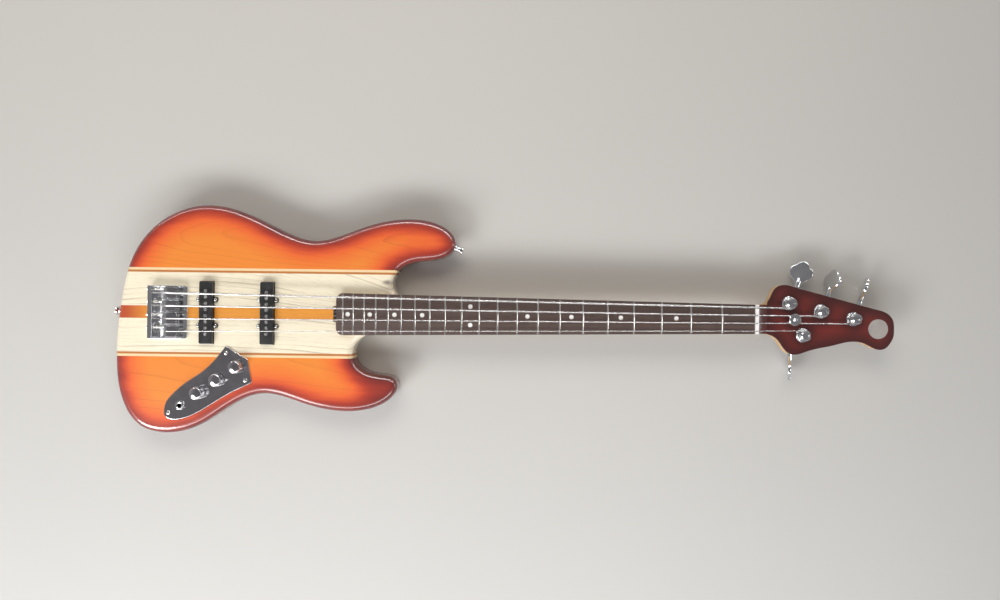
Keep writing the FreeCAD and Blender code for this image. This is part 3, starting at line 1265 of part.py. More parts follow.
disc_low = face_top + size.retainer_gap
disc_high = disc_low + size.retainer_disc
spool = turned("retainer_spool", [(size.small_screw_radius + 0.1, face_top),
                                  (size.retainer_stem, face_top), (size.retainer_stem, disc_low),
                                  (size.retainer_radius - 1.0, disc_low),
                                  (size.retainer_radius, disc_low + 0.8),
                                  (size.retainer_radius, disc_high - 0.8),
                                  (size.retainer_radius - 0.8, disc_high),
                                  (size.small_screw_radius + 0.1, disc_high)])
retainer_screw = turned("retainer_screw", [(0.0, slab_top - 9.0),
                                           (size.small_screw_radius, slab_top - 6.0),
                                           (size.small_screw_radius, disc_high),
                                           (size.small_screw_head, disc_high),
                                           (size.small_screw_head, disc_high + 0.6),
                                           (0.6 * size.small_screw_head, disc_high + 1.4),
                                           (0.0, disc_high + 1.4)])
retainer_place = [Placement(vec(*retainer_spot), Rotation())]
node("string_retainer", group("string_retainer", [copies("spool_set", spool, retainer_place),
                                                  copies("retainer_screw_set", retainer_screw,
                                                         retainer_place)]))


# Strings: straight runs joined by arcs, wound on the posts
WINDING_QUARTERS = 5
SPRING_QUARTERS = 28


def corner_arc(start, corner, end):
    # Arc from start to end whose end tangents meet at the corner
    middle = (start + end) * 0.5
    reach = (end - start).Length * 0.5
    rise = (corner - middle).Length
    lift = reach * math.tan(0.5 * math.atan2(rise, reach))
    return Part.Arc(start, middle + (corner - middle) * (lift / rise), end).toShape()


def biarc(start, start_way, end, end_way):
    gap_way = end - start
    both = start_way + end_way
    spread = 2.0 * (1.0 - start_way.dot(end_way))
    mixed = gap_way.dot(both)
    reach = (math.sqrt(mixed * mixed + spread * gap_way.dot(gap_way)) - mixed) / spread
    first = start + start_way * reach
    last = end - end_way * reach
    middle = (first + last) * 0.5
    return [corner_arc(start, first, middle), corner_arc(middle, last, end)]


def helix_edges(spot_at, way_at, quarters):
    edges = []
    for quarter in range(quarters):
        start, end = 0.5 * math.pi * quarter, 0.5 * math.pi * (quarter + 1)
        edges += biarc(spot_at(start), way_at(start), spot_at(end), way_at(end))
    return edges


def bent_run(points, radii):
    # Straight runs between points, each inner corner rounded with its radius
    edges = []
    last = points[0]
    for before, corner, after, radius in zip(points, points[1:], points[2:], radii):
        come = (corner - before).normalize()
        leave = (after - corner).normalize()
        reach = radius * math.tan(0.5 * come.getAngle(leave))
        start, end = corner - come * reach, corner + leave * reach
        edges += [Part.makeLine(last, start), corner_arc(start, corner, end)]
        last = end
    return edges + [Part.makeLine(last, points[-1])]


def tube(edges, radius):
    start = edges[0].valueAt(edges[0].FirstParameter)
    way = edges[0].tangentAt(edges[0].FirstParameter)
    profile = Part.Wire(Part.Circle(start, way, radius).toShape())
    return Part.Wire(edges).makePipeShell([profile], True, False)


def self_gap(edges, radius, turn_length):
    # Least distance of the tube from its own next turns, on points along it
    samples = []
    for edge in edges:
        samples += edge.discretize(6)[:-1]
    stations = [0.0]
    for start, end in zip(samples, samples[1:]):
        stations.append(stations[-1] + (end - start).Length)
    least = 1e9
    for i in range(len(samples)):
        for j in range(i + 1, len(samples)):
            if stations[j] - stations[i] > 0.7 * turn_length:
                least = min(least, (samples[i] - samples[j]).Length)
    return least - 2.0 * radius


def string_edges(line):
    hole_z = float(front) + named("string_hole_rise")
    wall_x = -named("bridge_back") + named("ball_recess_depth")
    run = Vector(float(nut_x), line.nut_y - line.bridge_y, line.nut_z - line.saddle_z)
    past_nut = (named("nut_thickness") + 1.0) / float(nut_x)
    over_nut = Vector(0, line.bridge_y, line.saddle_z) + run * (1.0 + past_nut)
    points = [Vector(wall_x - 0.05, line.bridge_y, hole_z),
              Vector(3.0 - named("bridge_back") + named("bridge_wall"), line.bridge_y, hole_z),
              Vector(0, line.bridge_y, line.saddle_z), over_nut]
    radii = [9.0, 6.0, 12.0]
    if line.name in ("a", "d"):
        under_disc = float(disc_low) - line.radius - named("string_seat_gap")
        for sign in (-0.7, 0.7):
            x = float(retainer_spot[0]) + sign * named("retainer_radius")
            points.append(Vector(x, line.line_y(x), under_disc))
            radii.append(20.0)
    wind_z = float(post_rest) + named("post_foot") + line.radius + named("string_seat_gap")
    pitch = 2.0 * line.radius + named("winding_gap")
    climb = pitch / (2.0 * math.pi * line.wind_radius)
    foot = Vector(line.foot.x, line.foot.y, wind_z)
    lead = Vector(line.along.x, line.along.y, climb).normalize()
    points += [foot - lead * 12.0, foot]
    radii.append(30.0)
    edges = bent_run(points, radii)
    start_turn = math.atan2(line.foot.y - line.post.y, line.foot.x - line.post.x)

    def spot_at(turn):
        angle = start_turn + line.side * turn
        return Vector(line.post.x + line.wind_radius * math.cos(angle),
                      line.post.y + line.wind_radius * math.sin(angle),
                      wind_z + pitch * turn / (2.0 * math.pi))

    def way_at(turn):
        angle = start_turn + line.side * turn
        return Vector(-line.side * math.sin(angle), line.side * math.cos(angle), climb).normalize()

    winding = helix_edges(spot_at, way_at, WINDING_QUARTERS)
    least = self_gap(winding, line.radius, 2.0 * math.pi * line.wind_radius)
    print("string", line.name, "gap between turns", round(least, 2), "mm")
    return edges + winding


ball_x = named("ball_recess_depth") - named("bridge_back") - named("ball_radius") - 0.1
for line in strings:
    tube_piece = formed("string_tube_" + line.name, tube(string_edges(line), line.radius))
    ball = rod("ball_" + line.name, size.ball_radius, size.ball_length, ball_x,
               line.bridge_y - 0.5 * size.ball_length, front + size.string_hole_rise, (0, 1, 0))
    node("string_" + line.name, group("string_" + line.name, [tube_piece, ball]))

# Bridge: base with rear wall, saddles, intonation screws and springs
half_bridge = 0.5 * size.bridge_width
bridge_top = front + size.bridge_floor
bridge_plate = new_body("bridge_plate")
bridge_sketch = new_sketch(bridge_plate, "XY_Plane", front)
polygon(bridge_sketch, [(-size.bridge_back, -half_bridge), (size.bridge_front, -half_bridge),
                        (size.bridge_front, half_bridge), (-size.bridge_back, half_bridge)])
bridge_pad = pad(bridge_plate, bridge_sketch, size.bridge_floor)
rounded(bridge_plate, bridge_pad, size.bridge_corner, lambda edge: is_upright(edge)
        and edge.BoundBox.XMin > 0)
bridge_wall = box("bridge_wall", (-size.bridge_back, -half_bridge, front),
                  (size.bridge_wall - size.bridge_back, half_bridge, front + size.bridge_wall_height))
bridge_cuts = []
screw_z = front + size.intonation_rise
for line in strings:
    hole_z = front + size.string_hole_rise
    back = -1.0 - size.bridge_back
    screw_y = line.bridge_y + size.intonation_offset
    bridge_cuts += [rod("string_hole_" + line.name, size.string_hole_radius, size.bridge_wall + 2.0,
                        back, line.bridge_y, hole_z, (1, 0, 0)),
                    rod("ball_recess_" + line.name, size.ball_recess_radius,
                        size.ball_recess_depth + 1.0, back, line.bridge_y, hole_z, (1, 0, 0)),
                    rod("intonation_hole_" + line.name, size.intonation_radius + size.intonation_gap,
                        size.bridge_wall + 2.0, back, screw_y, screw_z, (1, 0, 0))]
sunk_screw = turned("bridge_screw", [(0.0, bridge_top - 0.1), (0.0, front - size.bridge_screw_length),
                                     (size.bridge_screw_radius, front - size.bridge_screw_length + 4.0),
                                     (size.bridge_screw_radius, bridge_top - 2.4),
                                     (size.bridge_screw_head, bridge_top - 0.4),
                                     (size.bridge_screw_head, bridge_top - 0.1)])
rib_top = bridge_top + size.bridge_rib_height
sink_tool = turned("bridge_sink", [(0.0, rib_top + 1.0), (0.0, front - 1.0),
                                   (size.bridge_screw_radius + 0.1, front - 1.0),
                                   (size.bridge_screw_radius + 0.1, bridge_top - 2.4),
                                   (size.bridge_screw_head + 0.1, bridge_top - 0.4),
                                   (size.bridge_screw_head + 0.1, rib_top + 1.0)])
bridge_places = [Placement(vec(x, y), Rotation()) for x, y in bridge_screw_spots]
bridge_cuts.append(copies("bridge_sinks", sink_tool, bridge_places))
bridge_parts = [bridge_plate, bridge_wall]
rail_front = size.bridge_front - size.bridge_corner
for tag, low, high in (("low", -half_bridge, size.bridge_rail - half_bridge),
                       ("high", half_bridge - size.bridge_rail, half_bridge)):
    bridge_parts.append(box("bridge_rail_" + tag, (-size.bridge_back, low, front),
                            (rail_front, high, bridge_top + size.bridge_rail_height)))
for tag, step in (("low", -1.0), ("middle", 0.0), ("high", 1.0)):
    low = step * size.string_spacing_bridge - 0.5 * size.bridge_rib
    bridge_parts.append(box("bridge_rib_" + tag, (-size.bridge_back, low, front),
                            (size.bridge_rib_end, low + size.bridge_rib, rib_top)))
bridge_blank = union("bridge_blank", bridge_parts)
node("bridge_base", cut("bridge_base", bridge_blank, union("bridge_cuts", bridge_cuts)))
node("bridge_screws", copies("bridge_screws", sunk_screw, bridge_places))

springs = []
for line in strings:
    crest = line.saddle_z - 0.3 * line.radius
    low = crest - size.saddle_height
    profile = new_body("saddle_block_" + line.name)
    sketch = new_sketch(profile)
    tail, nose = -size.saddle_half_length, size.saddle_nose_length
    polygon(sketch, [(tail, 0.0), (nose, 0.0), (nose, size.saddle_nose_height), (1.5, size.saddle_height),
                     (-1.0, size.saddle_height), (tail, size.saddle_tail_height)])
    pad(profile, sketch, size.saddle_width)
    place(profile, 0.0, line.bridge_y + 0.5 * size.saddle_width, low, Rotation(Vector(1, 0, 0), 90))
    groove = line.radius + size.string_seat_gap
    fall = Vector(3.0 - named("bridge_back") + named("bridge_wall"), 0,
                  float(front) + named("string_hole_rise") - line.saddle_z)
    screw_y = line.bridge_y + size.intonation_offset
    tools = [rod("groove_front_" + line.name, groove, 20.0, -0.6, line.bridge_y, line.saddle_z,
                 (1, 0, 0)), rod("groove_back_" + line.name, groove, 20.0, 0.6, line.bridge_y,
                                 line.saddle_z + 0.2, (fall.x, 0, fall.z)),
             rod("saddle_bore_" + line.name, size.intonation_radius + size.intonation_gap,
                 size.saddle_half_length + 5.0, -size.saddle_half_length - 1.0, screw_y, screw_z,
                 (1, 0, 0))]
    feet = []
    for tag, sign in (("low", -1.0), ("high", 1.0)):
        y = line.bridge_y + sign * size.saddle_screw_y
        tools.append(rod("foot_hole_%s_%s" % (line.name, tag),
                         size.saddle_screw_radius + size.wood_screw_gap, 20.0, size.saddle_screw_x, y,
                         low - 1.0))
        foot_low = bridge_top + size.saddle_floor_gap
        feet.append(rod("foot_%s_%s" % (line.name, tag), size.saddle_screw_radius,
                        low + size.saddle_nose_height - foot_low, size.saddle_screw_x, y, foot_low))
    block = cut("saddle_cut_" + line.name, profile, union("saddle_tools_" + line.name, tools))
    node("saddle_" + line.name, group("saddle_" + line.name, [block] + feet))

    wall_back = -named("bridge_back")
    head_length = size.intonation_head_length
    reach = named("bridge_back") - named("intonation_reach")
    screw = turned("intonation_blank_" + line.name, [(0.0, -head_length),
                                                     (size.intonation_head - 0.5, -head_length),
                                                     (size.intonation_head, 0.5 - head_length),
                                                     (size.intonation_head, -0.05),
                                                     (size.intonation_radius, -0.05),
                                                     (size.intonation_radius, reach), (0.0, reach)])
    place(screw, wall_back, screw_y, screw_z, Rotation(Vector(0, 0, 1), Vector(1, 0, 0)))
    node("intonation_screw_" + line.name, screw)

    spring_start = wall_back + named("bridge_wall") + named("spring_wire") + named("spring_end_gap")
    spring_end = -named("saddle_half_length") - named("spring_wire") - named("spring_end_gap")
    advance = (spring_end - spring_start) / (0.5 * math.pi * SPRING_QUARTERS)
    axis_y, axis_z, coil = float(screw_y), float(screw_z), named("spring_radius")

    def coil_spot(turn):
        return Vector(spring_start + advance * turn, axis_y + coil * math.cos(turn),
                      axis_z + coil * math.sin(turn))

    def coil_way(turn):
        return Vector(advance, -coil * math.sin(turn), coil * math.cos(turn)).normalize()

    coil_edges = helix_edges(coil_spot, coil_way, SPRING_QUARTERS)
    least = self_gap(coil_edges, named("spring_wire"), 2.0 * math.pi * coil)
    print("spring", line.name, "gap between curls", round(least, 2), "mm")
    spring = formed("spring_wire_" + line.name, tube(coil_edges, named("spring_wire")))
    springs.append(spring)
node("saddle_springs", group("saddle_springs", springs))


# Pickups: hollow cover with ears, coil, magnet poles, height screws and foam
def make_pickup(tag, centre):
    low = front + size.pickup_rise - size.pickup_height
    x, height = float(centre), size.pickup_height
    half_x, half_y = 0.5 * size.pickup_width, 0.5 * size.pickup_length
    cover = new_body(tag + "_cover")
    shell = new_sketch(cover)
    polygon(shell, [(-half_x, -half_y), (half_x, -half_y), (half_x, half_y), (-half_x, half_y)])
    shell_pad = pad(cover, shell, height)
    corner = rounded(cover, shell_pad, size.pickup_corner, is_upright)
    top_z = float(height)
    rounded(cover, corner, size.pickup_edge, lambda edge: edge.BoundBox.ZMin > top_z - 0.01)
    lobes = new_sketch(cover)
    for sign in (-1.0, 1.0):
        level = sign * size.ear_offset_y
        stadium(lobes, vec(-size.ear_offset_x, level), vec(size.ear_offset_x, level), size.ear_radius)
    pad(cover, lobes, height - size.pickup_rise + size.ear_rise)
    hollow = new_sketch(cover)
    in_x, in_y = half_x - size.pickup_wall, half_y - size.pickup_wall
    polygon(hollow, [(-in_x, -in_y), (in_x, -in_y), (in_x, in_y), (-in_x, in_y)])
    hollow_cut = pocket(cover, hollow, height - size.pickup_wall)
    hollow_cut.Reversed = True
    ear_marks = [(sign_x * size.ear_offset_x, sign_y * size.ear_offset_y)
                 for sign_x, sign_y in ((-1, -1), (1, -1), (1, 1), (-1, 1))]
    ear_holes = new_sketch(cover, "XY_Plane", height)
    circles(ear_holes, ear_marks, size.small_screw_radius + 0.1)
    pocket(cover, ear_holes, height + 1.0)
    pole_marks = []
    for line in strings:
        for share in (-0.5, 0.5):
            pole_marks.append((0.0, line.line_y(x) + share * size.pole_split))
    pole_holes = new_sketch(cover, "XY_Plane", height)
    circles(pole_holes, pole_marks, size.pole_radius + 0.1)
    pocket(cover, pole_holes, size.pickup_wall + 1.0)
    place(cover, centre, 0.0, low)
    node(tag + "_cover", cover)

    gap_x, gap_y = in_x - size.coil_gap, in_y - size.coil_gap
    base, roof = low + 0.2, low + height - size.pickup_wall - size.coil_gap
    flange = 1.6
    plates = [box(tag + "_lower_plate", (centre - gap_x, -gap_y, base),
                  (centre + gap_x, gap_y, base + flange)),
              box(tag + "_coil", (centre - gap_x + 1.0, 1.0 - gap_y, base),
                  (centre + gap_x - 1.0, gap_y - 1.0, roof)),
              box(tag + "_upper_plate", (centre - gap_x, -gap_y, roof - flange),
                  (centre + gap_x, gap_y, roof))]
    coil_blank = union(tag + "_coil_blank", plates)
    top = low + height + size.pole_rise
    pole_rods = [rod("%s_pole_%d" % (tag, index), size.pole_radius, top - base, centre, y, base)
                 for index, (_, y) in enumerate(pole_marks)]
    coil_form = cut(tag + "_coil_form", coil_blank, group(tag + "_pole_set", pole_rods))
    node(tag + "_coil", group(tag + "_wound_coil", [coil_form] + pole_rods))

    seat = front + size.ear_rise
    screw = turned(tag + "_screw", [(0.0, -size.pickup_screw_length),
                                    (size.small_screw_radius, 4.0 - size.pickup_screw_length),
                                    (size.small_screw_radius, 0.0), (size.small_screw_head, 0.0),
                                    (size.small_screw_head, 0.4 * size.small_screw_rise),
                                    (0.6 * size.small_screw_head, size.small_screw_rise),
                                    (0.0, size.small_screw_rise)])
    places = [Placement(vec(centre + u, v, seat), Rotation()) for u, v in ear_marks]
    node(tag + "_screws", copies(tag + "_screws", screw, places))
    floor = front - size.pickup_cavity_depth
    return box(tag + "_foam", (centre - 0.6 * half_x, -0.6 * half_y, floor),
               (centre + 0.6 * half_x, 0.6 * half_y, low - size.foam_gap))


foam_blocks = [make_pickup("bridge_pickup", size.pickup_bridge_x),
               make_pickup("neck_pickup", size.pickup_neck_x)]
node("pickup_foam", group("pickup_foam", foam_blocks))

# Control plate with its knobs, controls and output jack
plate_top = front + size.plate_thickness
plate_body = new_body("control_plate")
plate_sketch = new_sketch(plate_body, "XY_Plane", front)


def plate_outline():
    corner, side = spot("plate_corner"), spot("plate_side")
    point, tail = spot("plate_point"), spot("plate_tail")
    low_edge = [point] + [between(point, tail, *share) for share in ((0.29, 0.43), (0.5, 0.825),
            (0.68, 1.13), (0.82, 1.27), (0.91, 1.285), (0.975, 1.2))] + [tail]
    high_edge = [tail] + [between(tail, corner, *share) for share in ((0.035, 0.14), (0.13, 0.255),
            (0.3, 0.4), (0.51, 0.535), (0.71, 0.68), (0.86, 0.835))] + [corner]
    return [Part.LineSegment(vec(*corner), vec(*side)), Part.LineSegment(vec(*side), vec(*point)),
            span(low_edge, (-0.9, -0.44), (0, 1)), span(high_edge, (0, 1), (0.62, 0.78))]


for curve in plate_outline():
    plate_sketch.addGeometry(curve, False)
pad(plate_body, plate_sketch, size.plate_thickness)
bushing_marks = [(mark.x, mark.y) for mark in knob_spots + [jack_spot]]
hole_sketch = new_sketch(plate_body, "XY_Plane", plate_top)
circles(hole_sketch, bushing_marks, size.pot_bushing + size.plate_hole_gap)
circles(hole_sketch, plate_screw_spots, size.plate_screw_radius + size.plate_hole_gap)
pocket(plate_body, hole_sketch, size.plate_thickness + 1.0)
node("control_plate", plate_body)
plate_screw = turned("plate_screw", [(0.0, front - 12.0), (size.plate_screw_radius, front - 9.0),
                                     (size.plate_screw_radius, plate_top),
                                     (size.plate_screw_head, plate_top),
                                     (size.plate_screw_head, plate_top + 0.6),
                                     (0.6 * size.plate_screw_head, plate_top + 1.5),
                                     (0.0, plate_top + 1.5)])
node("control_plate_screws", copies("control_plate_screws", plate_screw,
                                    [Placement(vec(x, y), Rotation()) for x, y in plate_screw_spots]))

case_low = front - size.pot_height
shaft_eye = size.pot_shaft_radius + size.running_gap
pot_case = turned("pot_case", [(0.0, case_low), (size.pot_radius, case_low), (size.pot_radius, front),
                               (size.pot_bushing, front),
                               (size.pot_bushing, plate_top + size.pot_bushing_rise),
                               (shaft_eye, plate_top + size.pot_bushing_rise),
                               (shaft_eye, case_low + 2.0), (0.0, case_low + 2.0)])
pot_nut = new_body("pot_nut")
pot_nut_sketch = new_sketch(pot_nut, "XY_Plane", plate_top)
polygon(pot_nut_sketch, hexagon(size.pot_nut_radius))
circles(pot_nut_sketch, [(0.0, 0.0)], size.pot_bushing)
pad(pot_nut, pot_nut_sketch, size.pot_nut_height)
control_places = [Placement(mark, Rotation()) for mark in knob_spots]
node("pots", group("pots", [copies("pot_cases", pot_case, control_places),
                            copies("pot_nuts", pot_nut, control_places)]))

knob_low = plate_top + size.knob_gap
knob_top = knob_low + size.knob_height
shaft_top = knob_top - 3.0
knob = new_body("knob_blank")
knob_sketch = new_sketch(knob, "XZ_Plane")
polygon(knob_sketch, [(size.knob_radius - size.knob_wall, knob_low), (size.knob_radius, knob_low),
                      (size.knob_radius - 0.3, knob_top - 0.8), (0.0, knob_top), (0.0, shaft_top + 0.2),
                      (shaft_eye, shaft_top + 0.2), (shaft_eye, knob_low + size.knob_skirt),
                      (size.knob_radius - size.knob_wall, knob_low + size.knob_skirt)])
knob_turn = knob.newObject("PartDesign::Revolution", "knob_turn")
knob_turn.Profile = knob_sketch
knob_turn.ReferenceAxis = (knob_sketch, ["V_Axis"])
knob_turn.Angle = 360
knob.Tip = knob_turn
rim_z = float(knob_top) - 1.0
rounded(knob, knob_turn, size.knob_edge, lambda edge: edge.BoundBox.ZMin > rim_z
        and edge.BoundBox.ZLength < 0.001 and edge.BoundBox.XLength > 1.0)
knob_shaft = turned("knob_shaft", [(0.0, case_low + 2.3), (size.pot_shaft_radius, case_low + 2.3),
                                   (size.pot_shaft_radius, shaft_top), (0.0, shaft_top)])
for label, where in zip(("neck_volume_knob", "bridge_volume_knob", "tone_knob"), control_places):
    node(label, group(label, [copies(label + "_cap", knob, [where]),
                              copies(label + "_shaft", knob_shaft, [where])]))

jack_sleeve = turned("jack_sleeve", [(size.jack_bore, front - size.jack_depth),
                                     (size.pot_bushing, front - size.jack_depth),
                                     (size.pot_bushing, front - 3.0),
                                     (size.jack_nut_radius + 1.3, front - 3.0),
                                     (size.jack_nut_radius + 1.3, front), (size.pot_bushing, front),
                                     (size.pot_bushing, plate_top + 3.6),
                                     (size.jack_bore + 0.5, plate_top + 3.6),
                                     (size.jack_bore, plate_top + 3.1)])
jack_washer = turned("jack_washer", [(size.pot_bushing + 0.05, plate_top),
                                     (size.jack_nut_radius + 1.2, plate_top),
                                     (size.jack_nut_radius + 1.2, plate_top + 0.4),
                                     (size.jack_nut_radius + 0.8, plate_top + 0.7),
                                     (size.pot_bushing + 0.05, plate_top + 0.7)])
jack_nut = new_body("jack_nut")
jack_nut_sketch = new_sketch(jack_nut, "XY_Plane", plate_top + 0.7)
polygon(jack_nut_sketch, hexagon(size.jack_nut_radius))
circles(jack_nut_sketch, [(0.0, 0.0)], size.pot_bushing + 0.05)
pad(jack_nut, jack_nut_sketch, 2.2)
arm_low = front - 30.0
jack_arm = box("jack_arm", (size.jack_bore + 1.6, -2.5, arm_low),
               (size.jack_bore + 2.4, 2.5, front - 3.0))
jack_tip = box("jack_tip", (size.jack_bore - 1.2, -2.5, arm_low),
               (size.jack_bore + 2.0, 2.5, arm_low + 0.8))
jack_spring = union("jack_spring", [jack_arm, jack_tip])
jack_place = [Placement(jack_spot, Rotation())]
jack_pieces = (("sleeve", jack_sleeve), ("washer", jack_washer), ("nut", jack_nut),
               ("spring", jack_spring))
jack_set = [copies("jack_%s_set" % tag, piece, jack_place) for tag, piece in jack_pieces]
node("output_jack", group("output_jack", jack_set))

# Leads from the pickups to the controls
leads = []
lead_z = float(channel_z) - named("channel_radius") + named("lead_radius") + 0.1
for tag, (start, end) in zip(("bridge", "neck"), lead_ends):
    way = (end - start).normalize()
    points = [start + way * 4.0 + Vector(0, 0, lead_z), end + way * 6.0 + Vector(0, 0, lead_z)]
    leads.append(formed(tag + "_lead", tube([Part.makeLine(points[0], points[1])], named("lead_radius"))))
node("pickup_leads", group("pickup_leads", leads))

# Strap buttons on the tail and on the long horn
seat = size.strap_seat
button = turned("strap_button_turned", [(size.strap_screw_radius + 0.1, seat), (size.strap_base, seat),
                                        (size.strap_base, seat + 1.0), (size.strap_neck, seat + 2.6),
                                        (size.strap_neck, size.strap_length - 4.0),
                                        (size.strap_flange, size.strap_length - 2.2),
                                        (size.strap_flange, size.strap_length - 0.8),
                                        (size.strap_flange - 0.8, size.strap_length),
                                        (4.0, size.strap_length),
                                        (size.strap_screw_radius + 0.1, size.strap_length - 2.0)])
strap_screw = turned("strap_screw", [(0.0, -size.strap_screw_length),
                                     (size.strap_screw_radius, 4.0 - size.strap_screw_length),
                                     (size.strap_screw_radius, size.strap_length - 2.0),
                                     (3.8, size.strap_length - 0.1), (3.0, size.strap_length + 0.6),
                                     (0.0, size.strap_length + 0.9)])
strap_places = [Placement(Vector(point.x, point.y, 0.5 * float(front)), Rotation(Vector(0, 0, 1), out))
                for point, out in strap_spots]
node("strap_buttons", group("strap_buttons", [copies("button_set", button, strap_places),
                                              copies("strap_screw_set", strap_screw, strap_places)]))


def finish():
    doc.recompute()
    os.makedirs("parts", exist_ok=True)
    for piece in doc.Objects:
        if "Invalid" in piece.State or "Error" in piece.State:
            raise RuntimeError("%s is not valid" % piece.Name)
    for label, piece in nodes.items():
        shape = piece.Shape
        if shape.isNull() or not shape.isValid() or not shape.Solids:
            raise RuntimeError("%s has no valid solid" % label)
        shape.exportStep("parts/%s.step" % label)
        print(label, len(shape.Solids), "solids", round(shape.Volume / 1000.0, 2), "cm3")


finish()
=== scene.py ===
import bmesh
import bpy
import math
from mathutils import Matrix, Quaternion, Vector, bvhtree, kdtree, noise


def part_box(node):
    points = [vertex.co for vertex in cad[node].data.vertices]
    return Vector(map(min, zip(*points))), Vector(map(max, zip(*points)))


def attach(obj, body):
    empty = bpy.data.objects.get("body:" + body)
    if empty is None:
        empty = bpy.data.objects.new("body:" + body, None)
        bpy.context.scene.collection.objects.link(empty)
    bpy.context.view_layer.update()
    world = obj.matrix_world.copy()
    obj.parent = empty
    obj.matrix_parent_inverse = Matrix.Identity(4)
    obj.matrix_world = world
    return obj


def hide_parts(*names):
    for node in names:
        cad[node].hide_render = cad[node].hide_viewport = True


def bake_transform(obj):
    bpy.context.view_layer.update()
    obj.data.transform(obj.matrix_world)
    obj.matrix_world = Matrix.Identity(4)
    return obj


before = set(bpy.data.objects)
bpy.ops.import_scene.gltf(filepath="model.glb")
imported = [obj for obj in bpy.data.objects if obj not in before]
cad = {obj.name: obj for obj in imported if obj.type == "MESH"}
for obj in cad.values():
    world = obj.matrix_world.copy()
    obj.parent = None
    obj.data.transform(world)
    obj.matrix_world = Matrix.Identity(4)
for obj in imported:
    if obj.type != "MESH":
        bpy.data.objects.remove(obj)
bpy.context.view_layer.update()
mm = 0.001
fullTurn = 2 * math.pi
weldGap = 2e-6
cutSlack = 1e-6
nodeGap = 190  # spacing in the node editor
softAngle = 32.0  # degrees: sharper edges stay crisp in the shading
scene = bpy.context.scene
stringNames = ("e", "a", "d", "g")
up = Vector((0, 0, 1))
print("frame loaded,", len(cad), "nodes")


# Small helpers for node trees

def addNode(tree, kind, spot=(0, 0), **settings):
    made = tree.nodes.new(kind)
    made.location = (spot[0] * nodeGap, spot[1] * -nodeGap)
    for name, value in settings.items():
        setattr(made, name, value)
    return made


def wire(tree, source, target):
    # A number, word or colour is written in the socket, an output is linked to it
    if isinstance(source, (int, float, str)):
        target.default_value = source
    elif isinstance(source, tuple):
        target.default_value = (*source, 1.0)
    else:
        tree.links.new(source, target)


def fill(tree, node, **values):
    for label, value in values.items():
        wire(tree, value, node.inputs[label.replace("_", " ")])
    return node


def chain(tree, *nodes):
    # The first output of each node goes to the first input of the next
    for before, after in zip(nodes, nodes[1:]):
        wire(tree, before.outputs[0], after.inputs[0])


def mathStep(tree, operation, *values, clamp=False):
    step = addNode(tree, "ShaderNodeMath", operation=operation, use_clamp=clamp)
    for value, socket in zip(values, step.inputs):
        wire(tree, value, socket)
    return step.outputs[0]


def times(tree, first, second):
    return mathStep(tree, "MULTIPLY", first, second)


def plus(tree, first, second):
    return mathStep(tree, "ADD", first, second)


def mixColour(tree, factor, first, second):
    step = addNode(tree, "ShaderNodeMix", data_type="RGBA")
    for value, index in ((factor, 0), (first, 6), (second, 7)):
        wire(tree, value, step.inputs[index])
    return step.outputs[2]


def share(tree, value, low, high):
    step = addNode(tree, "ShaderNodeMapRange", interpolation_type="SMOOTHSTEP")
    return fill(tree, step, Value=value, From_Min=low, From_Max=high).outputs[0]


def ramp(tree, factor, stops, smooth=True):
    step = addNode(tree, "ShaderNodeValToRGB")
    step.color_ramp.interpolation = "EASE" if smooth else "LINEAR"
    cells = step.color_ramp.elements
    while len(cells) < len(stops):
        cells.new(0.5)
    for cell, (place, colour) in zip(cells, stops):
        cell.position = place
        cell.color = (*colour, 1.0)
    wire(tree, factor, step.inputs[0])
    return step.outputs[0]


def noiseAt(tree, point, scale, detail, spot, **settings):
    made = addNode(tree, "ShaderNodeTexNoise", spot, **settings)
    return fill(tree, made, Vector=point, Scale=scale, Detail=detail).outputs[0]


def joinAxes(tree, spot, *values):
    made = addNode(tree, "ShaderNodeCombineXYZ", spot)
    for value, socket in zip(values, made.inputs):
        wire(tree, value, socket)
    return made.outputs[0]


def newGroup(name, inputs, outputs, kind="ShaderNodeTree"):
    group = bpy.data.node_groups.new(name, kind)
    for label, socketKind, value in inputs:
        socket = group.interface.new_socket(label, in_out="INPUT", socket_type="NodeSocket" + socketKind)
        if value is not None:
            socket.default_value = value
    for label, socketKind in outputs:
        group.interface.new_socket(label, in_out="OUTPUT", socket_type="NodeSocket" + socketKind)
    start = addNode(group, "NodeGroupInput", (-4, 0))
    end = addNode(group, "NodeGroupOutput", (6, 0))
    return group, start.outputs, end


def newFinish(name, **sockets):
    finish = bpy.data.materials.new(name)
    finish.use_nodes = True
    tree = finish.node_tree
    return finish, tree, fill(tree, tree.nodes["Principled BSDF"], **sockets)


def newVarnish(look):
    return newFinish(look["name"], Roughness=look["roughness"], Coat_Weight=look["coat"],
                     Coat_Roughness=look["coatRoughness"])


def objectPoint(tree):
    return addNode(tree, "ShaderNodeTexCoord", (-6, 0)).outputs["Object"]


def placeGroup(tree, group, **values):
    made = addNode(tree, "ShaderNodeGroup", (-3, 0), node_tree=group)
    return fill(tree, made, Point=objectPoint(tree), **values).outputs


def ownMark(tree, name):
    return addNode(tree, "ShaderNodeAttribute", (-6, 2), attribute_name=name).outputs["Fac"]


def axisOf(tree, axis):
    split = addNode(tree, "ShaderNodeSeparateXYZ", (-5, 4))
    wire(tree, objectPoint(tree), split.inputs[0])
    return split.outputs[axis]


def bumpFrom(tree, shader, height, strength, distance):
    bump = fill(tree, addNode(tree, "ShaderNodeBump"), Strength=strength, Distance=distance, Height=height)
    fill(tree, shader, Normal=bump.outputs[0])


def dimmed(colour, part):
    return tuple(part * value for value in colour)


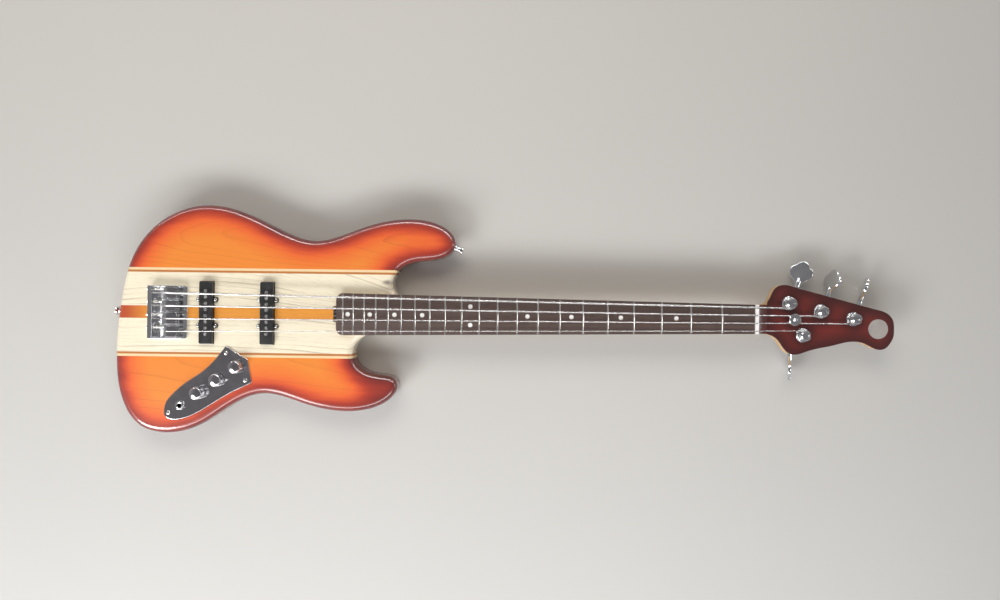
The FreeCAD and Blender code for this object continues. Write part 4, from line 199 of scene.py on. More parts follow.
# Wood grain: growth lines that run along X and may bow, and short dark pores
grainLook = {
    "lean": 0.55, "driftScale": 22.0, "driftDetail": 2.0, "ringFaint": 0.3, "ringSpread": 0.7,
    "poreStretch": 0.035, "poreScale": 1500.0, "poreDetail": 3.0, "poreFrom": 0.56, "poreGain": 9.0,
    "cloudScale": 60.0, "cloudDetail": 4.0, "poreSink": -1.0, "lineSink": -0.4,
}


def makeGrainGroup(look):
    group, given, end = newGroup(
        "woodGrain",
        [("Point", "Vector", None), ("Line Spacing", "Float", 0.009), ("Drift", "Float", 0.02),
         ("Stretch", "Float", 12.0), ("Shift", "Float", 0.0), ("Bow", "Float", 0.0), ("Across", "Float", 1.0),
         ("Cup", "Float", 0.0), ("Tilt", "Float", 0.0), ("Sharpness", "Float", 5.0)],
        [("Lines", "Float"), ("Pores", "Float"), ("Cloud", "Float"), ("Height", "Float")])
    split = addNode(group, "ShaderNodeSeparateXYZ", (-3, 0))
    wire(group, given["Point"], split.inputs[0])
    x, y, z = split.outputs
    moved = plus(group, plus(group, y, given["Shift"]), times(group, times(group, x, x), given["Bow"]))
    cupped = times(group, times(group, moved, moved), given["Cup"])
    tilted = plus(group, cupped, times(group, x, given["Tilt"]))
    flat = plus(group, times(group, moved, given["Across"]), tilted)
    depth = plus(group, flat, times(group, z, look["lean"]))
    flow = joinAxes(group, (-2, 1), mathStep(group, "DIVIDE", x, given["Stretch"]), plus(group, moved, z))
    drift = noiseAt(group, flow, look["driftScale"], look["driftDetail"], (-1, 1), noise_dimensions="2D")
    pushed = times(group, mathStep(group, "SUBTRACT", drift, 0.5), given["Drift"])
    level = mathStep(group, "DIVIDE", plus(group, depth, pushed), given["Line Spacing"])
    saw = mathStep(group, "FRACT", level)
    rise = mathStep(group, "POWER", saw, given["Sharpness"])  # a slow rise and a sharp end, as a growth ring has
    ring = addNode(group, "ShaderNodeTexWhiteNoise", (0, 2), noise_dimensions="1D")
    wire(group, mathStep(group, "FLOOR", level), ring.inputs["W"])
    strength = plus(group, times(group, ring.outputs[0], look["ringSpread"]), look["ringFaint"])
    lines = times(group, rise, strength)
    streak = joinAxes(group, (-2, 3), times(group, x, look["poreStretch"]), moved, z)
    pores = noiseAt(group, streak, look["poreScale"], look["poreDetail"], (-1, 3))
    over = mathStep(group, "SUBTRACT", pores, look["poreFrom"])
    dashes = mathStep(group, "MULTIPLY", over, look["poreGain"], clamp=True)
    cloud = noiseAt(group, flow, look["cloudScale"], look["cloudDetail"], (-1, 5))
    sunk = plus(group, times(group, dashes, look["poreSink"]), times(group, lines, look["lineSink"]))
    fill(group, end, Lines=lines, Pores=dashes, Cloud=cloud, Height=sunk)
    return group


# Handling marks on metal and plastic: soft smears and fine hairlines
wearLook = {"smearDetail": 5.0, "smearFrom": 0.35, "smearTo": 0.7, "hairStretch": (0.06, 1.0, 0.5), "hairDetail": 2.0}


def makeWearGroup(look):
    group, given, end = newGroup(
        "handlingMarks",
        [("Point", "Vector", None), ("Smear Scale", "Float", 60.0), ("Hairline Scale", "Float", 900.0),
         ("Low", "Float", 0.05), ("High", "Float", 0.2)],
        [("Roughness", "Float"), ("Smear", "Float"), ("Height", "Float")])
    smear = noiseAt(group, given["Point"], given["Smear Scale"], look["smearDetail"], (-2, 0))
    stretch = addNode(group, "ShaderNodeVectorMath", (-3, 2), operation="MULTIPLY")
    wire(group, given["Point"], stretch.inputs[0])
    stretch.inputs[1].default_value = look["hairStretch"]
    hair = noiseAt(group, stretch.outputs[0], given["Hairline Scale"], look["hairDetail"], (-2, 2))
    shaped = addNode(group, "ShaderNodeMapRange", (0, 0))
    fill(group, shaped, Value=smear, From_Min=look["smearFrom"], From_Max=look["smearTo"],
         To_Min=given["Low"], To_Max=given["High"])
    fill(group, end, Roughness=shaped.outputs[0], Smear=smear, Height=hair)
    return group


woodGrain = makeGrainGroup(grainLook)
handlingMarks = makeWearGroup(wearLook)


def layGrain(tree, lines, pores, base, look):
    # Ring lines, then pores, over a base colour
    lined = mixColour(tree, times(tree, lines, look["lineDepth"]), base, look["line"])
    return mixColour(tree, times(tree, pores, look["poreDepth"]), lined, look["pore"])


# Burst: a stain that follows the distance from the body's outline, over the rings of a flat-sawn board
burstLook = {
    "stops": [(0.0, (0.12, 0.012, 0.012)), (0.10, (0.26, 0.022, 0.014)), (0.22, (0.42, 0.038, 0.015)),
              (0.33, (0.66, 0.079, 0.021)), (0.45, (0.83, 0.137, 0.025)), (0.66, (0.86, 0.20, 0.029)),
              (1.0, (0.87, 0.262, 0.033))],
    "reach": 0.052, "lineDepth": 0.5, "line": (0.40, 0.060, 0.012), "poreDepth": 0.08, "pore": (0.20, 0.03, 0.01),
    "drift": 0.11, "stretch": 4.0, "tilt": -1.0, "sharpness": 14.0, "cloudPush": 0.012, "hornFrom": 0.25,
    "hornTo": 0.31, "bump": 0.04, "bumpDepth": 0.0003, "roughness": 0.34, "coat": 1.0, "coatRoughness": 0.025,
}
wingRings = {
    "upperBurst": {"name": "cherryBurstUpper", "heart": 0.107, "lean": -1.8, "cup": 150.0, "spacing": 0.075,
                   "hornDark": 0.0},
    "lowerBurst": {"name": "cherryBurstLower", "heart": -0.075, "lean": -3.0, "cup": 90.0, "spacing": 0.17,
                   "hornDark": 0.6},
}


def makeBurst(look):
    finish, tree, shader = newVarnish(look)
    grain = placeGroup(tree, woodGrain, Line_Spacing=look["spacing"], Drift=look["drift"], Stretch=look["stretch"],
                       Shift=-look["heart"], Across=look["lean"], Cup=look["cup"], Tilt=look["tilt"],
                       Sharpness=look["sharpness"])
    push = times(tree, mathStep(tree, "SUBTRACT", grain["Cloud"], 0.5), look["cloudPush"])
    pushed = plus(tree, ownMark(tree, "edgeGap"), push)
    horn = times(tree, share(tree, axisOf(tree, 0), look["hornFrom"], look["hornTo"]), -look["hornDark"])
    inward = times(tree, pushed, plus(tree, horn, 1.0))
    part = mathStep(tree, "DIVIDE", inward, look["reach"], clamp=True)
    stain = ramp(tree, part, look["stops"], smooth=False)
    fill(tree, shader, Base_Color=layGrain(tree, grain["Lines"], grain["Pores"], stain, look))
    bumpFrom(tree, shader, grain["Height"], look["bump"], look["bumpDepth"])
    return finish


# Plain woods
woodLooks = {
    "lightStrip": {"name": "mapleStrip", "base": (0.93, 0.72, 0.43), "line": (0.82, 0.56, 0.28),
                   "pore": (0.50, 0.30, 0.13), "spacing": 0.004, "drift": 0.004, "lineDepth": 0.2, "poreDepth": 0.1},
    "darkStrip": {"name": "stainedStrip", "base": (0.58, 0.22, 0.055), "line": (0.36, 0.11, 0.03),
                  "pore": (0.14, 0.04, 0.01), "spacing": 0.004, "drift": 0.004, "lineDepth": 0.3, "poreDepth": 0.2},
    "rosewood": {"name": "rosewood", "base": (0.118, 0.076, 0.064), "line": (0.055, 0.033, 0.027),
                 "pore": (0.020, 0.013, 0.011), "spacing": 0.005, "drift": 0.012, "lineDepth": 0.6, "poreDepth": 0.75,
                 "cloudDepth": 0.5, "roughness": 0.46, "coat": 0.2, "coatRoughness": 0.3, "bump": 0.25},
}
plainWood = {"cloudDepth": 0.25, "roughness": 0.34, "coat": 1.0, "coatRoughness": 0.03, "bump": 0.06,
             "bumpDepth": 0.0003}


def makeWood(given):
    look = {**plainWood, **given}
    finish, tree, shader = newVarnish(look)
    grain = placeGroup(tree, woodGrain, Line_Spacing=look["spacing"], Drift=look["drift"])
    clouded = mixColour(tree, times(tree, grain["Cloud"], look["cloudDepth"]), look["base"], look["line"])
    colour = layGrain(tree, grain["Lines"], grain["Pores"], clouded, look)
    fill(tree, shader, Base_Color=colour)
    bumpFrom(tree, shader, grain["Height"], look["bump"], look["bumpDepth"])
    return finish, tree, shader, colour


# Ash: rings that bow more on the low-string side, broken here and there, and a small knot by the cutaway
ashLook = {
    "base": (0.95, 0.87, 0.68), "line": (0.33, 0.23, 0.15), "lineDepth": 1.0, "pore": (0.30, 0.21, 0.14),
    "poreDepth": 0.25, "spacing": 0.0066, "drift": 0.022, "stretch": 9.0, "sharpness": 6.5, "bow": 0.14,
    "moreBow": 0.42, "bowFrom": -0.012, "bowTo": 0.03, "brokenFrom": 0.40, "brokenTo": 0.60, "bump": 0.06,
    "bumpDepth": 0.0003, "knot": (0.3207, 0.0479, 0.044), "knotReach": (0.009, 0.0045, 0.02),
    "knotColour": (0.10, 0.065, 0.04), "knotFrom": 1.2, "knotTo": 0.2, "knotDepth": 0.7, "name": "naturalAsh",
    "roughness": 0.34, "coat": 1.0, "coatRoughness": 0.03,
}


def makeAsh(look):
    finish, tree, shader = newVarnish(look)
    upper = times(tree, share(tree, axisOf(tree, 1), look["bowFrom"], look["bowTo"]), look["moreBow"])
    grain = placeGroup(tree, woodGrain, Line_Spacing=look["spacing"], Drift=look["drift"], Stretch=look["stretch"],
                       Sharpness=look["sharpness"], Bow=plus(tree, upper, look["bow"]))
    broken = share(tree, grain["Cloud"], look["brokenFrom"], look["brokenTo"])
    grained = layGrain(tree, times(tree, grain["Lines"], broken), grain["Pores"], look["base"], look)
    bumpFrom(tree, shader, grain["Height"], look["bump"], look["bumpDepth"])
    away = addNode(tree, "ShaderNodeVectorMath", (-5, 5), operation="SUBTRACT")
    wire(tree, objectPoint(tree), away.inputs[0])
    away.inputs[1].default_value = look["knot"]
    scaled = addNode(tree, "ShaderNodeVectorMath", (-4, 5), operation="DIVIDE")
    scaled.inputs[1].default_value = look["knotReach"]
    length = addNode(tree, "ShaderNodeVectorMath", (-3, 5), operation="LENGTH")
    chain(tree, away, scaled, length)
    eye = times(tree, share(tree, length.outputs["Value"], look["knotFrom"], look["knotTo"]), look["knotDepth"])
    fill(tree, shader, Base_Color=mixColour(tree, eye, grained, look["knotColour"]))
    return finish


# Neck: oiled maple, with the scoop behind the nut stained as the headstock face
neckLook = {
    "wood": {"name": "neckMaple", "base": (0.66, 0.43, 0.21), "line": (0.52, 0.31, 0.13), "pore": (0.30, 0.16, 0.06),
             "spacing": 0.012, "drift": 0.02, "lineDepth": 0.25, "poreDepth": 0.15, "roughness": 0.42, "coat": 0.4,
             "coatRoughness": 0.18},
    "stain": (0.10, 0.020, 0.016), "stainFrom": 0.8688, "topFrom": 0.35, "topTo": 0.6, "lowestStain": 0.0415,
}


def makeNeck(look):
    finish, tree, shader, wood = makeWood(look["wood"])
    facing = addNode(tree, "ShaderNodeNewGeometry", (-6, 4))
    split = addNode(tree, "ShaderNodeSeparateXYZ", (-5, 4))
    wire(tree, facing.outputs["Normal"], split.inputs[0])
    top = share(tree, split.outputs[2], look["topFrom"], look["topTo"])
    past = mathStep(tree, "GREATER_THAN", axisOf(tree, 0), look["stainFrom"])
    high = mathStep(tree, "GREATER_THAN", axisOf(tree, 2), look["lowestStain"])
    mask = times(tree, top, times(tree, past, high))
    fill(tree, shader, Base_Color=mixColour(tree, mask, wood, look["stain"]))
    return finish


# Centre strip: an orange stain that reddens to the tail
centreLook = {
    "wood": {"name": "stainedCentre", "base": (0.87, 0.365, 0.05), "line": (0.62, 0.17, 0.03),
             "pore": (0.30, 0.07, 0.015), "spacing": 0.006, "drift": 0.008, "lineDepth": 0.25, "poreDepth": 0.2},
    "tail": (0.50, 0.075, 0.018), "tailFrom": -0.020, "tailTo": -0.074,
}


def makeCentre(look):
    finish, tree, shader, wood = makeWood(look["wood"])
    tail = share(tree, axisOf(tree, 0), look["tailFrom"], look["tailTo"])
    fill(tree, shader, Base_Color=mixColour(tree, tail, wood, look["tail"]))
    return finish


# Headstock face: a dark red stain that darkens a little to the outline
headLook = {
    "edge": (0.06, 0.0086, 0.0072), "heart": (0.165, 0.018, 0.013), "reach": 0.024, "line": (0.07, 0.012, 0.009),
    "lineDepth": 0.3, "spacing": 0.02, "drift": 0.05, "stretch": 6.0, "bump": 0.05, "bumpDepth": 0.0002,
    "name": "headstockStain", "roughness": 0.30, "coat": 0.8, "coatRoughness": 0.10,
}


def makeHeadFace(look):
    finish, tree, shader = newVarnish(look)
    grain = placeGroup(tree, woodGrain, Line_Spacing=look["spacing"], Drift=look["drift"], Stretch=look["stretch"])
    part = mathStep(tree, "DIVIDE", ownMark(tree, "edgeGap"), look["reach"], clamp=True)
    stain = ramp(tree, part, [(0.0, look["edge"]), (1.0, look["heart"])])
    lined = mixColour(tree, times(tree, grain["Lines"], look["lineDepth"]), stain, look["line"])
    fill(tree, shader, Base_Color=lined)
    bumpFrom(tree, shader, grain["Height"], look["bump"], look["bumpDepth"])
    return finish


# Metals and plastics: low and high bound the roughness that handling leaves
metalLooks = {
    "chrome": {"name": "brightChrome", "colour": (0.80, 0.81, 0.83), "low": 0.03, "high": 0.10},
    "plateChrome": {"name": "plateChrome", "colour": (0.80, 0.77, 0.80), "low": 0.03, "high": 0.20,
                    "smearScale": 34.0, "hairBump": 0.01, "dulled": 0.25},
    "saddleChrome": {"name": "saddleChrome", "colour": (0.52, 0.51, 0.52), "low": 0.10, "high": 0.26,
                     "smearScale": 160.0, "hairBump": 0.10},
    "nickel": {"name": "screwNickel", "colour": (0.72, 0.71, 0.68), "low": 0.12, "high": 0.26, "smearScale": 220.0},
    "fretWire": {"name": "fretWire", "colour": (0.86, 0.84, 0.80), "low": 0.10, "high": 0.20, "smearScale": 140.0},
    "brass": {"name": "ballBrass", "colour": (0.72, 0.52, 0.22), "low": 0.18, "high": 0.3, "smearScale": 300.0},
    "blackSteel": {"name": "blackenedSteel", "colour": (0.06, 0.06, 0.065), "low": 0.3, "high": 0.5},
}
plasticLooks = {
    "pickupPlastic": {"name": "pickupPlastic", "colour": (0.018, 0.018, 0.019), "low": 0.30, "high": 0.46},
    "leadSkin": {"name": "leadSkin", "colour": (0.02, 0.02, 0.02), "low": 0.45, "high": 0.6},
    "whitePlastic": {"name": "bonePlastic", "colour": (0.97, 0.95, 0.93), "low": 0.28, "high": 0.4},
    "dotPlastic": {"name": "dotPlastic", "colour": (0.82, 0.81, 0.78), "low": 0.16, "high": 0.26, "bump": 0.01},
    "inlayPlastic": {"name": "inlayPlastic", "colour": (0.33, 0.305, 0.29), "low": 0.35, "high": 0.5},
    "foam": {"name": "darkFoam", "colour": (0.03, 0.03, 0.03), "low": 0.85, "high": 0.95, "bump": 0.4},
}
plasticWear = {"smearScale": 90.0, "hairlineScale": 2400.0, "paleGain": 1.35, "paleLift": 0.004}
hairDepth = 0.0001


def makeMetal(name, colour, low, high, smearScale=60.0, hairBump=0.02, dulled=0.82):
    finish, tree, shader = newFinish(name, Metallic=1.0)
    wear = placeGroup(tree, handlingMarks, Smear_Scale=smearScale, Low=low, High=high)
    smeared = mixColour(tree, wear["Smear"], colour, dimmed(colour, dulled))
    fill(tree, shader, Base_Color=smeared, Roughness=wear["Roughness"])
    bumpFrom(tree, shader, wear["Height"], hairBump, hairDepth)
    return finish


def makePlastic(name, colour, low, high, bump=0.05):
    finish, tree, shader = newFinish(name)
    wear = placeGroup(tree, handlingMarks, Smear_Scale=plasticWear["smearScale"],
                      Hairline_Scale=plasticWear["hairlineScale"], Low=low, High=high)
    pale = tuple(min(1.0, plasticWear["paleGain"] * part + plasticWear["paleLift"]) for part in colour)
    fill(tree, shader, Base_Color=mixColour(tree, wear["Smear"], colour, pale), Roughness=wear["Roughness"])
    bumpFrom(tree, shader, wear["Height"], bump, hairDepth)
    return finish


# Coil and magnet poles are one node: copper wire below, bright steel on the pole tops
coilLook = {"copper": (0.30, 0.10, 0.035), "copperDark": 0.6, "steel": (0.80, 0.79, 0.76), "poleFrom": 0.0512,
            "wirePitch": 0.0004, "smearScale": 300.0, "low": 0.2, "high": 0.36, "bump": 0.3}


def makeCoil(look):
    finish, tree, shader = newFinish("coilAndPoles")
    height = axisOf(tree, 2)
    pole = mathStep(tree, "GREATER_THAN", height, look["poleFrom"])
    turns = mathStep(tree, "SINE", times(tree, height, fullTurn / look["wirePitch"]))
    wear = placeGroup(tree, handlingMarks, Smear_Scale=look["smearScale"], Low=look["low"], High=look["high"])
    copper = mixColour(tree, wear["Smear"], look["copper"], dimmed(look["copper"], look["copperDark"]))
    fill(tree, shader, Base_Color=mixColour(tree, pole, copper, look["steel"]), Metallic=pole,
         Roughness=wear["Roughness"])
    ridges = times(tree, turns, mathStep(tree, "SUBTRACT", 1.0, pole))
    bumpFrom(tree, shader, ridges, look["bump"], hairDepth)
    return finish


# Wound string: fine ridges that follow the tube's own length, with painted shade in the grooves between them
woundLook = {"colour": (0.56, 0.55, 0.54), "grooveDark": 0.8, "wrap": 0.00045, "smearScale": 120.0, "low": 0.24,
             "high": 0.30, "bump": 0.006}


def makeWound(look):
    finish, tree, shader = newFinish("woundString", Metallic=1.0)
    wear = placeGroup(tree, handlingMarks, Smear_Scale=look["smearScale"], Low=look["low"], High=look["high"])
    turns = mathStep(tree, "SINE", times(tree, ownMark(tree, "along"), fullTurn / look["wrap"]))
    crest = plus(tree, times(tree, turns, 0.5), 0.5)
    # painted shade: the colour darkens in the grooves between the windings
    paintedGrooveShade = dimmed(look["colour"], look["grooveDark"])
    wrapped = mixColour(tree, crest, paintedGrooveShade, look["colour"])
    fill(tree, shader, Base_Color=wrapped, Roughness=wear["Roughness"])
    bumpFrom(tree, shader, turns, look["bump"], hairDepth)
    return finish


finishes = {"ash": makeAsh(ashLook), "neckMaple": makeNeck(neckLook), "centre": makeCentre(centreLook),
            "headFace": makeHeadFace(headLook), "wound": makeWound(woundLook), "coil": makeCoil(coilLook)}
finishes.update({key: makeBurst({**burstLook, **rings}) for key, rings in wingRings.items()})
finishes.update({key: makeWood(look)[0] for key, look in woodLooks.items()})
finishes.update({key: makeMetal(**look) for key, look in metalLooks.items()})
finishes.update({key: makePlastic(**look) for key, look in plasticLooks.items()})
print("finishes ready,", len(finishes))


# Mesh helpers

def mergedCopy(nodeName):
    shape = bmesh.new()
    shape.from_mesh(cad[nodeName].data)
    bmesh.ops.remove_doubles(shape, verts=shape.verts, dist=weldGap)
    return shape


def joinedTo(first):
    # Every vertex that edges join to the first one
    seen, stack, found = {first}, [first], []
    while stack:
        vertex = stack.pop()
        found.append(vertex)
        for edge in vertex.link_edges:
            other = edge.other_vert(vertex)
            if other not in seen:
                seen.add(other)
                stack.append(other)
    return found


def looseParts(nodeName):
    # Corner points of each separate solid of a node, in a fixed order
    shape = mergedCopy(nodeName)
    seen, parts = set(), []
    for first in shape.verts:
        if first not in seen:
            found = joinedTo(first)
            seen.update(found)
            parts.append([vertex.co.copy() for vertex in found])
    shape.free()
    return sorted(parts, key=lambda points: (round(points[0].x, 5), round(points[0].y, 5)))


def cornersOf(points):
    low = Vector([min(point[axis] for point in points) for axis in range(3)])
    high = Vector([max(point[axis] for point in points) for axis in range(3)])
    return low, high


def addShape(whole, extra):
    # Joins a second shape to the first
    mesh = bpy.data.meshes.new("extra")
    extra.to_mesh(mesh)
    extra.free()
    whole.from_mesh(mesh)
    bpy.data.meshes.remove(mesh)


def closedLoop(shape, lower, upper):
    # Side walls between two rings of the same count
    for step in range(len(lower)):
        after = (step + 1) % len(lower)
        shape.faces.new((lower[step], lower[after], upper[after], upper[step]))


def turnedShape(profile, sides):
    # A turned form about Z from radius and height pairs
    shape = bmesh.new()
    rings = []
    for radius, height in profile:
        count = sides if radius > weldGap else 1
        turns = [fullTurn * step / count for step in range(count)]
        rings.append([shape.verts.new((radius * math.cos(turn), radius * math.sin(turn), height)) for turn in turns])
    for lower, upper in zip(rings, rings[1:]):
        for step in range(sides):
            after = step + 1
            corners = [lower[step % len(lower)], lower[after % len(lower)], upper[after % len(upper)],
                       upper[step % len(upper)]]
            corners = list(dict.fromkeys(corners))
            if len(corners) > 2:
                shape.faces.new(corners)
    return shape


def shadeShape(shape, sharpAngle=softAngle):
    bmesh.ops.recalc_face_normals(shape, faces=shape.faces)
    for face in shape.faces:
        face.smooth = True
    for edge in shape.edges:
        edge.smooth = len(edge.link_faces) == 2 and edge.calc_face_angle(0.0) < math.radians(sharpAngle)


def linkedObject(name, data):
    made = bpy.data.objects.new(name, data)
    scene.collection.objects.link(made)
    return made


def objectFrom(shape, name):
    mesh = bpy.data.meshes.new(name)
    shape.to_mesh(mesh)
    shape.free()
    return linkedObject(name, mesh)


def roundNormals(mesh, gaps, edgeTree, look):
    # True normals on a rounded edge, so that its highlights run smoothly
    radius, top, slack = look["radius"], look["top"], look["slack"]
    normals = [corner.vector.copy() for corner in mesh.corner_normals]
    known = {}

    def trueNormal(index, rough):
        if index not in known:
            place = mesh.vertices[index].co
            flat = Vector((place.x, place.y, 0))
            spot, _, gap = edgeTree.find(flat)
            around = [hit[0] for hit in edgeTree.find_range(spot, look["span"])]
            middle = sum(around, Vector()) / len(around)
            xx, yy, xy = (sum((point[i] - middle[i]) * (point[j] - middle[j]) for point in around)
                          for i, j in ((0, 0), (1, 1), (0, 1)))
            turn = 0.5 * math.atan2(2 * xy, xx - yy)
            out = Vector((-math.sin(turn), math.cos(turn), 0))
            if out.dot(spot - flat if gap > slack else rough) < 0:
                out.negate()
            if place.z > top / 2:
                rise = min(max((place.z - top) / radius + 1, 0), 1)
            else:
                rise = max(min(place.z / radius - 1, 0), -1)
            known[index] = out * math.sqrt(1 - rise * rise) + up * rise
        return known[index]

    for face in mesh.polygons:
        level = abs(face.normal.z)
        heights = [mesh.vertices[index].co.z for index in face.vertices]
        reach = max(gaps[index].value for index in face.vertices)
        atEdge = min(heights) > top - radius - slack or max(heights) < radius + slack
        onWall = level < look["wallLevel"] and reach < slack
        onRound = level > look["wallLevel"] and reach < radius + slack and atEdge
        for loop, index in zip(face.loop_indices, face.vertices):
            if level > look["flatLevel"]:
                normals[loop] = face.normal.copy()
            elif onWall or onRound:
                normals[loop] = trueNormal(index, normals[loop])
    mesh.normals_split_custom_set(normals)


def finishShape(shape, kind, nodeName, body, finish, sharpAngle=softAngle, edgeTree=None, rounding=None):
    shadeShape(shape, sharpAngle)
    piece = objectFrom(shape, kind + "." + nodeName)
    mesh = piece.data
    if edgeTree is not None:
        gaps = mesh.attributes.new("edgeGap", "FLOAT", "POINT")
        for vertex in mesh.vertices:
            gaps.data[vertex.index].value = edgeTree.find(Vector((vertex.co.x, vertex.co.y, 0)))[2]
    mesh.materials.append(finish)
    if rounding:
        roundNormals(mesh, mesh.attributes["edgeGap"].data, edgeTree, rounding)
    else:
        even = piece.modifiers.new("evenShade", "WEIGHTED_NORMAL")
        even.keep_sharp = True
    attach(piece, body)
    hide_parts(nodeName)


bevelLook = {"flatAngle": 0.4, "edgeAngle": 40.0, "segments": 3, "profile": 0.5}


def bevelEdges(shape, width, look):
    # Small rounded edges, which catch the light
    bmesh.ops.dissolve_limit(shape, angle_limit=math.radians(look["flatAngle"]), verts=shape.verts[:],
                             edges=shape.edges[:])
    edges = [edge for edge in shape.edges
             if len(edge.link_faces) == 2 and edge.calc_face_angle(0.0) > math.radians(look["edgeAngle"])]
    bmesh.ops.bevel(shape, geom=edges, offset=width, offset_type="OFFSET", segments=look["segments"],
                    profile=look["profile"], affect="EDGES", clamp_overlap=False)


def gridCut(shape, step):
    low, high = cornersOf([vertex.co for vertex in shape.verts])
    for axis in (0, 1):
        for index in range(1, int((high[axis] - low[axis]) / step) + 1):
            spot, way = [0.0, 0.0, 0.0], [0.0, 0.0, 0.0]
            spot[axis], way[axis] = low[axis] + index * step, 1.0
            bmesh.ops.bisect_plane(shape, geom=shape.verts[:] + shape.edges[:] + shape.faces[:], dist=cutSlack,
                                   plane_co=spot, plane_no=way)


outlineLook = {"leastFace": 1e-12, "wallTilt": 0.1, "outside": 0.001, "spacing": 0.001}


def outlineSpots(names, look):
    # Points on the outer walls: nothing of the pieces lies under a spot just outside such a wall
    corners, faces = [], []
    for name in names:
        mesh = cad[name].data
        first = len(corners)
        corners += [vertex.co.copy() for vertex in mesh.vertices]
        faces += [[first + index for index in face.vertices] for face in mesh.polygons]
    tree = bvhtree.BVHTree.FromPolygons(corners, faces)
    spots = []
    for face in faces:
        a, b, c = (corners[index] for index in face[:3])
        normal = (b - a).cross(c - a)
        if normal.length < look["leastFace"]:
            continue
        normal.normalize()
        if abs(normal.z) > look["wallTilt"]:
            continue
        below = tree.ray_cast((a + b + c) / 3 + normal * look["outside"], -up)
        if below[0] is not None:
            continue
        for start, end in ((a, b), (b, c), (c, a)):
            flat = Vector((end.x - start.x, end.y - start.y, 0))
            steps = max(1, int(flat.length / look["spacing"]))
            spots += [Vector((start.x, start.y, 0)) + flat * (step / steps) for step in range(steps + 1)]
    near = kdtree.KDTree(len(spots))
    for index, point in enumerate(spots):
        near.insert(point, index)
    near.balance()
    return near


# Body pieces: each point carries its distance from the outline, which drives the burst

bodyNodes = {"upper_wing": "upperBurst", "lower_wing": "lowerBurst", "light_strips": "lightStrip",
             "dark_strips": "darkStrip", "ash_core": "ash", "centre_strip": "centre"}
bodyEdge = outlineSpots(bodyNodes, outlineLook)
bodyRound = {"radius": 0.010, "top": 0.044, "slack": 0.0004, "span": 0.004, "wallLevel": 0.01, "flatLevel": 0.9995}
bodyCut = {"step": 0.008, "centreStep": 0.02}
pocketLook = {"endX": 0.2469, "half": 0.03135, "corner": 0.0101, "low": 0.028, "top": 0.044, "steps": 10}


def fillCorner(shape, look, side):
    # Wood that follows the rounded corner of the neck's end
    radius, middle = look["corner"], (look["endX"] + look["corner"], look["half"] - look["corner"])
    spots = [(look["endX"], look["half"])]
    for step in range(look["steps"] + 1):
        turn = 0.5 * math.pi * (1 + step / look["steps"])
        spots.append((middle[0] + radius * math.cos(turn), middle[1] + radius * math.sin(turn)))
    lower, upper = [[shape.verts.new((x, side * y, z)) for x, y in spots] for z in (look["low"], look["top"])]
    shape.faces.new(lower)
    shape.faces.new(upper)
    closedLoop(shape, lower, upper)


def makeBody(nodeName, finish):
    shape = mergedCopy(nodeName)
    if nodeName == "centre_strip":  # its stain follows the length, not the outline
        gridCut(shape, bodyCut["centreStep"])
        finishShape(shape, "wood", nodeName, "bass", finish)
        return
    gridCut(shape, bodyCut["step"])
    if nodeName == "ash_core":
        fillCorner(shape, pocketLook, 1)
        fillCorner(shape, pocketLook, -1)
    finishShape(shape, "wood", nodeName, "bass", finish, edgeTree=bodyEdge, rounding=bodyRound)


for nodeName, finishName in bodyNodes.items():
    makeBody(nodeName, finishes[finishName])
print("body pieces ready")

headCut = {"step": 0.006, "bevel": 0.0006}


def makeHead(nodeName, finish, look):
    shape = mergedCopy(nodeName)
    bevelEdges(shape, look["bevel"], bevelLook)
    gridCut(shape, look["step"])
    finishShape(shape, "wood", nodeName, "bass", finish, edgeTree=outlineSpots((nodeName,), outlineLook))


makeHead("headstock_face", finishes["headFace"], headCut)
print("headstock face ready")


# Geometry node trees: a tube along a path, and copies of a source at spots

def namedValue(tree, name, kind, spot):
    made = addNode(tree, "GeometryNodeInputNamedAttribute", spot, data_type=kind)
    return fill(tree, made, Name=name).outputs["Attribute"]


def endTree(tree, last, given, end):
    # Both trees end in real geometry that has its finish
    real = addNode(tree, "GeometryNodeRealizeInstances", (2, 0))
    paint = fill(tree, addNode(tree, "GeometryNodeSetMaterial", (3, 0)), Material=given["Finish"])
    chain(tree, last, real, paint, end)


def makeTubeTree():
    tree, given, end = newGroup(
        "tubeOnPath",
        [("Path", "Geometry", None), ("Radius", "Float", 0.001), ("Sides", "Int", 12), ("Bend Steps", "Int", 5),
         ("Finish", "Material", None)],
        [("Tube", "Geometry")], "GeometryNodeTree")
    curve = addNode(tree, "GeometryNodeMeshToCurve", (-3, 0))
    fillet = addNode(tree, "GeometryNodeFilletCurve", (-2, 0), mode="POLY")
    ruler = addNode(tree, "GeometryNodeSplineParameter", (-2, 2))
    mark = addNode(tree, "GeometryNodeStoreNamedAttribute", (-1, 0), data_type="FLOAT", domain="POINT")
    ring = addNode(tree, "GeometryNodeCurvePrimitiveCircle", (-1, 3))
    tube = addNode(tree, "GeometryNodeCurveToMesh", (0, 0))
    smooth = addNode(tree, "GeometryNodeSetShadeSmooth", (1, 0))
    fill(tree, curve, Mesh=given["Path"])
    fill(tree, fillet, Count=given["Bend Steps"], Radius=namedValue(tree, "bend", "FLOAT", (-3, 2)), Limit_Radius=True)
    fill(tree, mark, Name="along", Value=ruler.outputs["Length"])  # the wound strings' ridges follow this
    fill(tree, ring, Resolution=given["Sides"], Radius=given["Radius"])
    fill(tree, tube, Profile_Curve=ring.outputs[0], Fill_Caps=True)
    chain(tree, curve, fillet, mark, tube, smooth)
    endTree(tree, smooth, given, end)
    return tree


